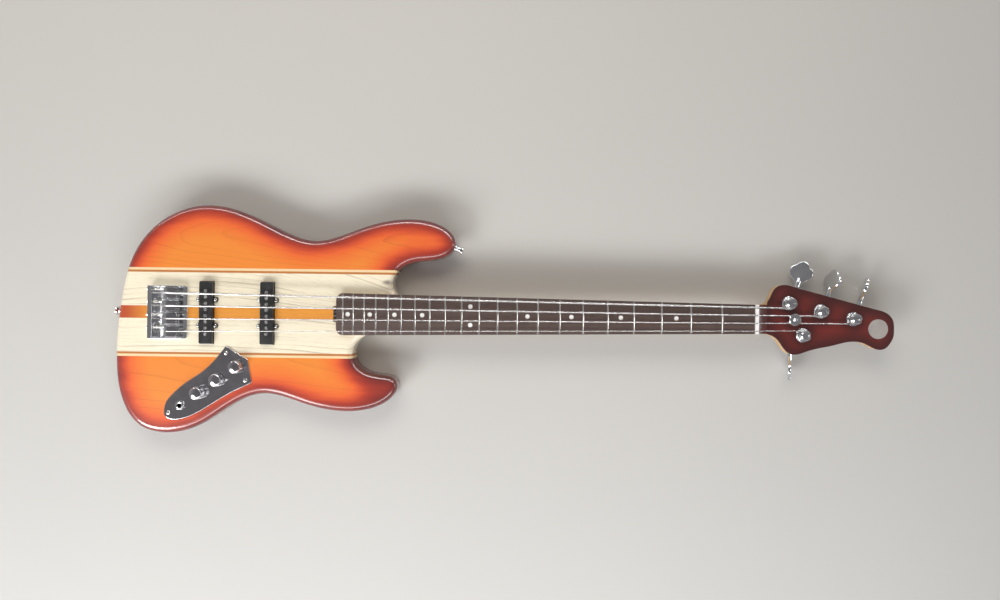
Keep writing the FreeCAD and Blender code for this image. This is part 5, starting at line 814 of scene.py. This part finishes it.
def makeSpotsTree():
    tree, given, end = newGroup(
        "piecesOnSpots",
        [("Spots", "Geometry", None), ("Source", "Object", None), ("Finish", "Material", None)],
        [("Pieces", "Geometry")], "GeometryNodeTree")
    source = addNode(tree, "GeometryNodeObjectInfo", (-3, 2), transform_space="ORIGINAL")
    copies = addNode(tree, "GeometryNodeInstanceOnPoints", (-1, 0))
    fill(tree, source, Object=given["Source"])
    fill(tree, copies, Points=given["Spots"], Instance=source.outputs["Geometry"],
         Rotation=namedValue(tree, "turn", "QUATERNION", (-3, 4)))
    endTree(tree, copies, given, end)
    return tree


def evaluatedMesh(piece):
    bpy.context.view_layer.update()
    return bpy.data.meshes.new_from_object(piece.evaluated_get(bpy.context.evaluated_depsgraph_get()))


def runTree(base, tree, **values):
    # Evaluates a tree on a base mesh and gives back the result as a plain mesh object
    worker = base.modifiers.new("worker", "NODES")
    worker.node_group = tree
    for item in tree.interface.items_tree:
        label = item.name.replace(" ", "")
        if item.in_out == "INPUT" and label in values:
            worker[item.identifier] = values[label]
    mesh = evaluatedMesh(base)
    base.modifiers.remove(worker)
    old = base.data
    base.data = mesh
    bpy.data.meshes.remove(old)
    mesh.name = base.name
    return base


tubeTree = makeTubeTree()
spotsTree = makeSpotsTree()


def tubeAlong(name, points, bends, radius, finish, sides, steps):
    mesh = bpy.data.meshes.new(name)
    links = [(index, index + 1) for index in range(len(points) - 1)]
    mesh.from_pydata([tuple(point) for point in points], links, [])
    marks = mesh.attributes.new("bend", "FLOAT", "POINT")
    marks.data.foreach_set("value", bends)
    piece = linkedObject(name, mesh)
    return runTree(piece, tubeTree, Radius=radius, Sides=sides, BendSteps=steps, Finish=finish)


def copiesAt(name, spots, source, finish):
    # spots: place and turn of each copy
    mesh = bpy.data.meshes.new(name)
    mesh.from_pydata([tuple(place) for place, turn in spots], [], [])
    turns = mesh.attributes.new("turn", "QUATERNION", "POINT")
    for cell, (place, turn) in zip(turns.data, spots):
        cell.value = turn
    return runTree(linkedObject(name, mesh), spotsTree, Source=source, Finish=finish)


# Strings: ball end, run over saddle and nut, and turns on the post, all in millimetres
stringRoute = {
    "scale": 863.6, "boardTop": 53.0, "crown": 508.0, "saddleLift": 4.8, "nutLift": 1.7, "ballX": -25.9,
    "startX": -23.65, "wallX": -19.1, "tailZ": 51.8, "nutPast": 6.0, "discX": 923.6, "discHalf": 6.23, "discZ": 48.6,
    "postRadius": 6.2, "seatGap": 0.12, "washerTop": 46.7, "turnGap": 0.5, "quarterTurns": 5, "leadIn": 12.0,
    "bends": {"wall": 9.0, "saddle": 6.0, "nut": 12.0, "disc": 20.0, "lead": 30.0}, "sides": 14, "bendSteps": 6,
    "turnPoints": 28, "meetX": 6.0, "bendX": -1.0, "easeX": 160.0,
}
stringLook = {
    "e": {"bridgeY": 28.2, "nutY": 17.25, "radius": 1.335, "foot": 53.5, "side": 1, "disc": False},
    "a": {"bridgeY": 9.4, "nutY": 5.75, "radius": 1.08, "foot": 100.9, "side": 1, "disc": True},
    "d": {"bridgeY": -9.4, "nutY": -5.75, "radius": 0.825, "foot": 149.5, "side": 1, "disc": True},
    "g": {"bridgeY": -28.2, "nutY": -17.25, "radius": 0.57, "foot": 74.7, "side": -1, "disc": False},
}
# Half of the ball's profile from its flat to its waist, as shares of its radius
ballLook = {"radius": 2.2, "half": [(0, 1), (0.86, 1), (1, 0.8), (1, 0.45), (0.8, 0.2)], "sides": 24}


def stringPath(look, route):
    radius, bridgeY, nutY = look["radius"], look["bridgeY"], look["nutY"]
    scaleRun, bends = route["scale"], route["bends"]
    slope = (nutY - bridgeY) / scaleRun
    saddle = Vector((0, bridgeY, route["boardTop"] + route["saddleLift"] - bridgeY ** 2 / route["crown"] + radius))
    nut = Vector((scaleRun, nutY, route["boardTop"] + route["nutLift"] - nutY ** 2 / route["crown"] + radius))
    points = [(Vector((route["startX"], bridgeY, route["tailZ"])), 0.0),
              (Vector((route["wallX"], bridgeY, route["tailZ"])), bends["wall"]), (saddle, bends["saddle"]),
              (saddle + (nut - saddle) * (1 + route["nutPast"] / scaleRun), bends["nut"])]
    if look["disc"]:
        z = route["discZ"] - radius - route["seatGap"]
        for sign in (-1, 1):
            x = route["discX"] + sign * route["discHalf"]
            points.append((Vector((x, bridgeY + slope * x, z)), bends["disc"]))
    wind = route["postRadius"] + radius + route["seatGap"]
    pitch = 2 * radius + route["turnGap"]
    along = Vector((1, slope, 0)).normalized()
    lead = Vector((along.x, along.y, pitch / (fullTurn * wind))).normalized()
    footX = scaleRun + look["foot"]
    foot = Vector((footX, bridgeY + slope * footX, route["washerTop"] + radius + route["seatGap"]))
    post = foot + Vector((-along.y, along.x, 0)) * look["side"] * wind
    points += [(foot - lead * route["leadIn"], bends["lead"]), (foot, 0.0)]
    first = math.atan2(foot.y - post.y, foot.x - post.x)
    count = route["turnPoints"] * route["quarterTurns"] // 4
    for step in range(1, count + 1):
        turn = fullTurn * step / route["turnPoints"]
        angle = first + look["side"] * turn
        spot = (post.x + wind * math.cos(angle), post.y + wind * math.sin(angle), foot.z + pitch * turn / fullTurn)
        points.append((Vector(spot), 0.0))
    return points


def addBall(tail, place, look):
    # The ball becomes part of the tail's mesh, in its second material
    radius = look["radius"] * mm
    lower = [(reach * radius, -height * radius) for reach, height in look["half"]]
    upper = [(reach * radius, height * radius) for reach, height in reversed(look["half"])]
    ball = turnedShape(lower + upper, look["sides"])
    bmesh.ops.transform(ball, matrix=Matrix.Translation(place) @ Matrix.Rotation(math.pi / 2, 4, "X"), verts=ball.verts)
    shadeShape(ball)
    for face in ball.faces:
        face.material_index = 1
    whole = bmesh.new()
    whole.from_mesh(tail.data)
    addShape(whole, ball)
    whole.to_mesh(tail.data)
    whole.free()


def makeString(name, look, route):
    # Two lengths meet just past the saddle
    path = stringPath(look, route)
    saddle, past = path[2][0], path[3][0]
    meet = (saddle + (past - saddle) * (route["meetX"] / past.x), 0.0)
    tail, run = [tubeAlong(word + "." + name, [point * mm for point, bend in part], [bend * mm for point, bend in part],
                           look["radius"] * mm, finishes["wound"], route["sides"], route["bendSteps"])
                 for word, part in (("stringTail", path[:3] + [meet]), ("string", [meet] + path[3:]))]
    tail.data.materials.append(finishes["brass"])
    addBall(tail, Vector((route["ballX"], look["bridgeY"], route["tailZ"])) * mm, ballLook)
    for piece in (tail, run):
        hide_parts("string_" + name)
    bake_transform(tail)
    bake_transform(run)


for name in stringNames:
    makeString(name, stringLook[name], stringRoute)
print("strings ready")

# Saddle springs: one coil round each intonation screw
springLook = {"offset": 5.8, "height": 53.0, "from": -21.6, "to": -11.5, "radius": 2.1, "wire": 0.35, "turns": 7,
              "points": 20, "sides": 8, "bendSteps": 1}


def makeSpring(name, look):
    y, z = stringLook[name]["bridgeY"] + look["offset"], look["height"]
    count = look["turns"] * look["points"]
    points = []
    for step in range(count + 1):
        turn = fullTurn * step / look["points"]
        x = look["from"] + (look["to"] - look["from"]) * step / count
        points.append(Vector((x, y + look["radius"] * math.cos(turn), z + look["radius"] * math.sin(turn))) * mm)
    spring = tubeAlong("spring." + name, points, [0.0] * len(points), look["wire"] * mm, finishes["nickel"],
                       look["sides"], look["bendSteps"])
    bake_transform(spring)
    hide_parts("saddle_springs")


for name in stringNames:
    makeSpring(name, springLook)
print("springs ready")

# Pickup leads: two straight covered wires in their drilled channels
leadLook = {"radius": 0.0012, "sides": 14, "bendSteps": 1, "capDepth": 0.0012}


def tubeEnds(points, capDepth):
    middle = sum(points, Vector()) / len(points)
    way = (max(points, key=lambda point: (point - middle).length) - middle).normalized()
    reaches = [(point - middle).dot(way) for point in points]
    ends = []
    for sign in (-1, 1):
        limit = max(sign * reach for reach in reaches) - capDepth
        cap = [point for point, reach in zip(points, reaches) if sign * reach > limit]
        ends.append(sum(cap, Vector()) / len(cap))
    return ends


for index, points in enumerate(looseParts("pickup_leads")):
    lead = tubeAlong("lead.%d" % index, tubeEnds(points, leadLook["capDepth"]), [0.0, 0.0], leadLook["radius"],
                     finishes["leadSkin"], leadLook["sides"], leadLook["bendSteps"])
    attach(lead, "bass")
    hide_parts("pickup_leads")

# Foam under the pickups: crowned blocks
foamLook = {"cuts": 10, "pullIn": 0.0008, "cornerPull": 0.6, "crown": 0.35, "grain": 0.00015, "grainScale": 7.0,
            "sharpAngle": 80.0, "fill": 0.8}


def makeFoam(name, points, look):
    low, high = cornersOf(points)
    middle, half = (low + high) / 2, (high - low) / 2
    shape = bmesh.new()
    bmesh.ops.create_cube(shape, size=2.0)
    bmesh.ops.subdivide_edges(shape, edges=shape.edges[:], cuts=look["cuts"], use_grid_fill=True)
    for vertex in shape.verts:
        place = vertex.co.copy()
        rim, rise = max(abs(place.x), abs(place.y)), abs(place.z)
        # The sides draw in to the top and the foot, most of all at the corners
        pull = look["pullIn"] * (rise ** 4 + look["cornerPull"] * rim ** 8 * rise ** 2)
        grain = look["grain"] * noise.noise(place * look["grainScale"])
        for axis in range(2):
            vertex.co[axis] = middle[axis] + place[axis] * (half[axis] - pull - abs(grain))
        vertex.co.z = middle.z + place.z * (half.z - look["crown"] * look["pullIn"] * rim ** 6)
    shadeShape(shape, look["sharpAngle"])
    piece = objectFrom(shape, name)
    piece.data.materials.append(finishes["foam"])
    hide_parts("pickup_foam")
    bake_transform(piece)


for points, body in zip(looseParts("pickup_foam"), ("bridge_pickup", "neck_pickup")):
    makeFoam("foam." + body, points, foamLook)
print("leads and foam ready")

# Screws with a cross recess, one source for each kind, in millimetres
smallScrew = {"head": 2.5, "rise": 1.5, "shank": 1.4, "recess": 0.9, "sunk": False, "down": False, "body": "bass"}
screwLook = {
    "tuner_screws": {**smallScrew, "down": True},
    "control_plate_screws": {**smallScrew, "head": 3.0, "shank": 1.5},
    "bridge_pickup_screws": {**smallScrew, "body": "bridge_pickup"},
    "neck_pickup_screws": {**smallScrew, "body": "neck_pickup"},
    "bridge_screws": {**smallScrew, "head": 4.0, "rise": 2.3, "shank": 2.0, "recess": 1.4, "sunk": True},
    "neck_screws": {**smallScrew, "head": 5.0, "rise": 1.9, "shank": 2.4, "recess": 1.3, "down": True},
}
# Radii of the rim, dome and recess are shares of the head, and dome heights are shares of its rise
screwForm = {
    "tipShare": 0.2, "tipRise": 0.4, "tipLength": 3, "sides": 40, "sharpAngle": 28.0, "firstTurn": 0.5, "nextTurn": 2.4,
    "sunkRim": [(1, -0.25), (1, -0.08), (0.96, 0), (0, 0)],
    "dome": [(0.96, 0), (1, 0.08), (1, 0.36), (0.93, 0.62), (0.76, 0.86), (0.5, 0.98), (0, 1)],
    "recessArm": 0.58, "recessHalf": 0.17, "recessAbove": 0.3, "recessTop": 1.12, "recessFoot": 0.45, "recessLean": 0.3,
}


def recessCut(name, head, top, depth, turn, form):
    arm, half = form["recessArm"] * head, form["recessHalf"] * head
    shape = bmesh.new()
    rows = []
    for z, size in ((top + form["recessAbove"] * mm, form["recessTop"]), (top - depth, form["recessFoot"])):
        across = half * min(1.0, size + form["recessLean"])
        rows.append([shape.verts.new((x * arm * size, y * across, z)) for x, y in ((-1, -1), (1, -1), (1, 1), (-1, 1))])
    shape.faces.new(rows[0])
    shape.faces.new(rows[1])
    closedLoop(shape, rows[0], rows[1])
    bmesh.ops.rotate(shape, matrix=Matrix.Rotation(turn, 3, "Z"), verts=shape.verts)
    bmesh.ops.recalc_face_normals(shape, faces=shape.faces)
    return objectFrom(shape, name)


def screwSource(name, look, length, form):
    head, rise, shank = (look[part] * mm for part in ("head", "rise", "shank"))
    profile = [(0, -length), (form["tipShare"] * shank, form["tipRise"] * mm - length),
               (shank, form["tipLength"] * mm - length)]
    if look["sunk"]:
        profile += [(shank, -rise)] + [(radius * head, z * mm) for radius, z in form["sunkRim"]]
    else:
        profile += [(shank, 0)] + [(radius * head, z * rise) for radius, z in form["dome"]]
    shape = turnedShape(profile, form["sides"])
    bmesh.ops.recalc_face_normals(shape, faces=shape.faces)
    source = objectFrom(shape, name)
    top = 0.0 if look["sunk"] else rise
    cutters = [recessCut(name + ".cut", head, top, look["recess"] * mm, turn, form) for turn in (0.0, math.pi / 2)]
    for cutter in cutters:
        bite = source.modifiers.new("recess", "BOOLEAN")
        bite.operation, bite.solver, bite.object = "DIFFERENCE", "EXACT", cutter
    mesh = evaluatedMesh(source)
    source.modifiers.clear()
    shape = bmesh.new()
    shape.from_mesh(mesh)
    shadeShape(shape, form["sharpAngle"])
    shape.to_mesh(mesh)
    shape.free()
    source.data = mesh
    for cutter in cutters:
        bpy.data.objects.remove(cutter)
    return source


def makeScrews(nodeName, look, form):
    boxes = [cornersOf(points) for points in looseParts(nodeName)]
    low, high = boxes[0]
    head = 0.0 if look["sunk"] else look["rise"] * mm
    source = screwSource("source." + nodeName, look, high.z - low.z - head, form)
    flip = Quaternion((1, 0, 0), math.pi) if look["down"] else Quaternion()
    spots = []
    for index, (low, high) in enumerate(boxes):
        middle = (low + high) / 2
        z = low.z + head if look["down"] else high.z - head
        turn = Quaternion((0, 0, 1), form["nextTurn"] * index + form["firstTurn"])
        spots.append((Vector((middle.x, middle.y, z)), flip @ turn))
    screws = copiesAt("screws." + nodeName, spots, source, finishes["nickel"])
    bpy.data.objects.remove(source)
    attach(screws, look["body"])
    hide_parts(nodeName)


for nodeName, look in screwLook.items():
    makeScrews(nodeName, look, screwForm)
print("screws ready,", len(screwLook), "kinds")

# Knobs: a domed cap on each shaft, its side gripped by small diamonds in staggered rows
knobLook = {"radius": 9.3, "topRadius": 9.0, "low": 47.0, "top": 63.5, "skirt": 7.6, "skirtTop": 53.2, "eye": 3.1,
            "eyeTop": 60.7, "eyeSlack": 0.05, "domeRadius": 17.0, "rimRadius": 8.1, "domeSteps": 8, "foot": 0.3,
            "sideDrop": 1.2, "shoulder": [(0.66, 0.62), (0.36, 0.22)], "sides": 72, "sharpAngle": 40.0}
knurlLook = {"around": 44, "rows": 11, "low": 48.6, "pitch": 1.06, "width": 0.66, "height": 1.06, "rise": 0.34,
             "sunk": 0.10}
knobBodies = {"neck_volume_knob": "neck_volume", "bridge_volume_knob": "bridge_volume", "tone_knob": "tone"}


def knobRadius(z, look):
    return look["radius"] + (look["topRadius"] - look["radius"]) * (z - look["low"]) / (look["top"] - look["low"])


def knobProfile(look):
    ball, rim, top, low, radius = (look[key] for key in ("domeRadius", "rimRadius", "top", "low", "radius"))
    reaches = [rim * step / look["domeSteps"] for step in range(look["domeSteps"], -1, -1)]
    dome = [(reach, top - (ball - math.sqrt(ball ** 2 - reach ** 2))) for reach in reaches]
    rimZ = dome[0][1]
    sideTop = rimZ - look["sideDrop"]
    inside = [(0, look["eyeTop"]), (look["eye"], look["eyeTop"]), (look["eye"], look["skirtTop"]),
              (look["skirt"], look["skirtTop"]), (look["skirt"], low)]
    side = [(radius - look["foot"], low), (radius, low + look["foot"]), (knobRadius(sideTop, look), sideTop)]
    return inside + side + [(rim + out, rimZ - drop) for out, drop in look["shoulder"]] + dome


def middleOf(nodeName):
    low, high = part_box(nodeName)
    return (Vector(low) + Vector(high)) / 2


def makeKnob(nodeName, body, look):
    shape = turnedShape([(radius * mm, z * mm) for radius, z in knobProfile(look)], look["sides"])
    middle = middleOf(nodeName)
    bmesh.ops.translate(shape, vec=(middle.x, middle.y, 0), verts=shape.verts)
    shaft = mergedCopy(nodeName)
    shaftTop = (look["eyeTop"] - look["eyeSlack"]) * mm
    cap = set()
    for vertex in shaft.verts:
        if vertex.co.z > shaftTop and vertex not in cap:
            cap.update(joinedTo(vertex))
    bmesh.ops.delete(shaft, geom=list(cap), context="VERTS")
    addShape(shape, shaft)
    finishShape(shape, "knob", nodeName, body, finishes["plateChrome"], look["sharpAngle"])


def diamondSource(look):
    width, height, rise, sunk = (look[part] * mm for part in ("width", "height", "rise", "sunk"))
    shape = bmesh.new()
    corners = ((-width, 0, -sunk), (0, -height, -sunk), (width, 0, -sunk), (0, height, -sunk))
    ring = [shape.verts.new(corner) for corner in corners]
    tip = shape.verts.new((0, 0, rise - sunk))
    for step in range(4):
        shape.faces.new((ring[step], ring[(step + 1) % 4], tip))
    shape.faces.new(list(reversed(ring)))
    return objectFrom(shape, "source.diamond")


def makeKnurl(nodeName, body, source, look):
    middle, spots = middleOf(nodeName), []
    for row in range(look["rows"]):
        z = look["low"] + row * look["pitch"]
        for step in range(look["around"]):
            turn = fullTurn * (step + 0.5 * (row % 2)) / look["around"]
            out = Vector((math.cos(turn), math.sin(turn), 0))
            basis = Matrix((up.cross(out), up, out)).transposed()  # local Y up the knob, local Z outwards
            place = Vector((middle.x, middle.y, z * mm)) + out * knobRadius(z, knobLook) * mm
            spots.append((place, basis.to_quaternion()))
    knurl = copiesAt("knurl." + nodeName, spots, source, finishes["chrome"])
    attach(knurl, body)


diamond = diamondSource(knurlLook)
for nodeName, body in knobBodies.items():
    makeKnob(nodeName, body, knobLook)
    makeKnurl(nodeName, body, diamond, knurlLook)
bpy.data.objects.remove(diamond)
print("knobs ready")


# Solid parts keep their shape: a weld, a small edge bevel where it shows, and smooth shading

def makeShadeTree():
    tree, given, end = newGroup("smoothByAngle", [("Geometry", "Geometry", None), ("Angle", "Float", 0.0)],
                                [("Geometry", "Geometry")], "GeometryNodeTree")
    faces = addNode(tree, "GeometryNodeSetShadeSmooth", (1, 0), domain="FACE")
    edges = addNode(tree, "GeometryNodeSetShadeSmooth", (3, 0), domain="EDGE")
    bend = addNode(tree, "GeometryNodeInputMeshEdgeAngle", (0, 2))
    sharp = addNode(tree, "FunctionNodeCompare", (1, 2), data_type="FLOAT", operation="GREATER_THAN")
    wire(tree, given["Geometry"], faces.inputs["Geometry"])
    wire(tree, bend.outputs["Unsigned Angle"], sharp.inputs[0])
    wire(tree, given["Angle"], sharp.inputs[1])
    fill(tree, edges, Geometry=faces.outputs[0], Selection=sharp.outputs[0], Shade_Smooth=False)
    chain(tree, edges, end)
    return tree


shadeTree = makeShadeTree()


def dressNode(nodeName, finish):
    node = cad[nodeName]
    node.data.materials.clear()
    node.data.materials.append(finish)
    weld = node.modifiers.new("weld", "WELD")
    weld.merge_threshold = weldGap
    shade = node.modifiers.new("shade", "NODES")
    shade.node_group = shadeTree
    socket = [item for item in shadeTree.interface.items_tree if item.name == "Angle"][0]
    shade[socket.identifier] = math.radians(softAngle)


def bevelNode(nodeName, body, finish, width):
    shape = mergedCopy(nodeName)
    bevelEdges(shape, width, bevelLook)
    finishShape(shape, "solid", nodeName, body, finish)


dressing = {
    "neck": "neckMaple", "fingerboard": "rosewood", "headstock_inlay": "inlayPlastic", "fret_markers": "dotPlastic",
    "frets": "fretWire", "truss_rod": "blackSteel", "truss_rod_wheel": "blackSteel", "neck_ferrules": "chrome",
    "string_retainer": "chrome", "bridge_pickup_coil": "coil", "neck_pickup_coil": "coil", "pots": "nickel",
    "strap_buttons": "chrome",
}
bevels = {
    "bridge_base": ("bass", "chrome", 0.3), "control_plate": ("bass", "plateChrome", 1.1),
    "nut": ("bass", "whitePlastic", 0.25), "tuner_bushings": ("bass", "chrome", 0.35),
    "tuner_plates": ("bass", "chrome", 0.2), "output_jack": ("bass", "chrome", 0.45),
    "bridge_pickup_cover": ("bridge_pickup", "pickupPlastic", 0.5),
    "neck_pickup_cover": ("neck_pickup", "pickupPlastic", 0.5),
}
for name in stringNames:
    dressing["tuner_key_" + name] = "chrome"
    dressing["tuner_post_" + name] = "chrome"
    dressing["intonation_screw_" + name] = "nickel"
    bevels["saddle_" + name] = ("saddle_" + name, "saddleChrome", 0.3)
for nodeName, finishName in dressing.items():
    dressNode(nodeName, finishes[finishName])
for nodeName, (body, finishName, width) in bevels.items():
    bevelNode(nodeName, body, finishes[finishName], width * mm)
print("solid parts ready,", len(dressing) + len(bevels))

# Floor, light and camera
floorLook = {"colour": (0.60, 0.595, 0.58), "clouded": 0.97, "half": 3.0, "z": -0.0006, "roughness": 0.7,
             "cloudScale": 3.0, "cloudDetail": 2.0}
lampLooks = {
    "window": {"place": (-1.05, -1.60, 1.42), "size": (1.05, 1.05), "power": 35.0, "shows": "all"},
    "lowStrip": {"place": (0.45, -1.22, 0.98), "size": (1.7, 0.36), "power": 13.5, "shows": "all"},
    "lowBox": {"place": (-0.86, -0.98, 1.10), "size": (0.58, 0.6), "power": 22.0, "shows": "shine"},
    "farStrip": {"place": (0.30, 1.45, 1.00), "size": (4.8, 0.07), "power": 32.0, "shows": "shine"},
    "boardStrip": {"place": (1.20, 1.30, 1.05), "size": (2.6, 0.10), "power": 16.0, "shows": "shine",
                   "aim": (1.20, 0, 0.03)},
    "headStrip": {"place": (2.20, -0.10, 0.32), "size": (0.15, 1.0), "power": 5.0, "shows": "shine"},
    "farFill": {"place": (0.20, 1.30, 1.50), "size": (1.8, 0.9), "power": 15.0, "shows": "soft",
                "tint": (1.0, 0.90, 0.76)},
}
plainLamp = {"aim": (0.3, 0, 0.03), "tint": (1.0, 1.0, 1.0)}
# A dim room: lighter round the horizon, dark overhead, so flat metal stays dark from above
roomLook = {"stops": [(0.0, (0.52, 0.52, 0.53)), (0.5, (0.46, 0.46, 0.47)), (0.95, (0.24, 0.235, 0.24))],
            "strength": 0.85}
cameraLook = {"place": (0.4881, 0.02385, 1.103), "turn": 0.0125, "focalPixels": 714.0, "imageWidth": 1000.0,
              "sensor": 36.0, "near": 0.01, "far": 20.0}


def makeFloor(look):
    half, z = look["half"], look["z"]
    mesh = bpy.data.meshes.new("floor")
    mesh.from_pydata([(-half, -half, z), (half, -half, z), (half, half, z), (-half, half, z)], [], [(0, 1, 2, 3)])
    floor = linkedObject("floor", mesh)
    finish, tree, shader = newFinish("paleFloor", Roughness=look["roughness"], Specular_IOR_Level=0.0)
    cloud = noiseAt(tree, objectPoint(tree), look["cloudScale"], look["cloudDetail"], (-3, 0))
    pale = dimmed(look["colour"], look["clouded"])
    fill(tree, shader, Base_Color=mixColour(tree, cloud, look["colour"], pale))
    mesh.materials.append(finish)


def makeLamp(name, given):
    look = {**plainLamp, **given}
    lamp = bpy.data.lights.new(name, "AREA")
    lamp.shape = "RECTANGLE"
    lamp.size, lamp.size_y = look["size"]
    lamp.energy = look["power"]
    lamp.color = look["tint"]
    holder = linkedObject(name, lamp)
    holder.location = look["place"]
    way = Vector(look["aim"]) - Vector(look["place"])
    holder.rotation_euler = way.to_track_quat("-Z", "Y").to_euler()
    holder.visible_diffuse = look["shows"] != "shine"  # some lamps only show as glints, one only as soft light
    holder.visible_glossy = look["shows"] != "soft"
    holder.visible_camera = False


def makeRoom(look):
    world = bpy.data.worlds.new("studioWorld")
    scene.world = world
    world.use_nodes = True
    tree = world.node_tree
    split = addNode(tree, "ShaderNodeSeparateXYZ", (-3, 0))
    wire(tree, addNode(tree, "ShaderNodeTexCoord", (-4, 0)).outputs["Generated"], split.inputs[0])
    shade = ramp(tree, split.outputs[2], look["stops"])
    fill(tree, tree.nodes["Background"], Color=shade, Strength=look["strength"])


def makeCamera(look):
    lens = bpy.data.cameras.new("photoView")
    lens.sensor_fit = "HORIZONTAL"
    lens.sensor_width = look["sensor"]
    lens.lens = look["sensor"] * look["focalPixels"] / look["imageWidth"]
    lens.clip_start, lens.clip_end = look["near"], look["far"]
    view = linkedObject("photoView", lens)
    view.location = look["place"]
    view.rotation_euler = (0.0, 0.0, look["turn"])
    scene.camera = view


makeFloor(floorLook)
for lampName, lampLook in lampLooks.items():
    makeLamp(lampName, lampLook)
makeRoom(roomLook)
makeCamera(cameraLook)
scene.view_settings.view_transform = "Standard"
print("studio ready")
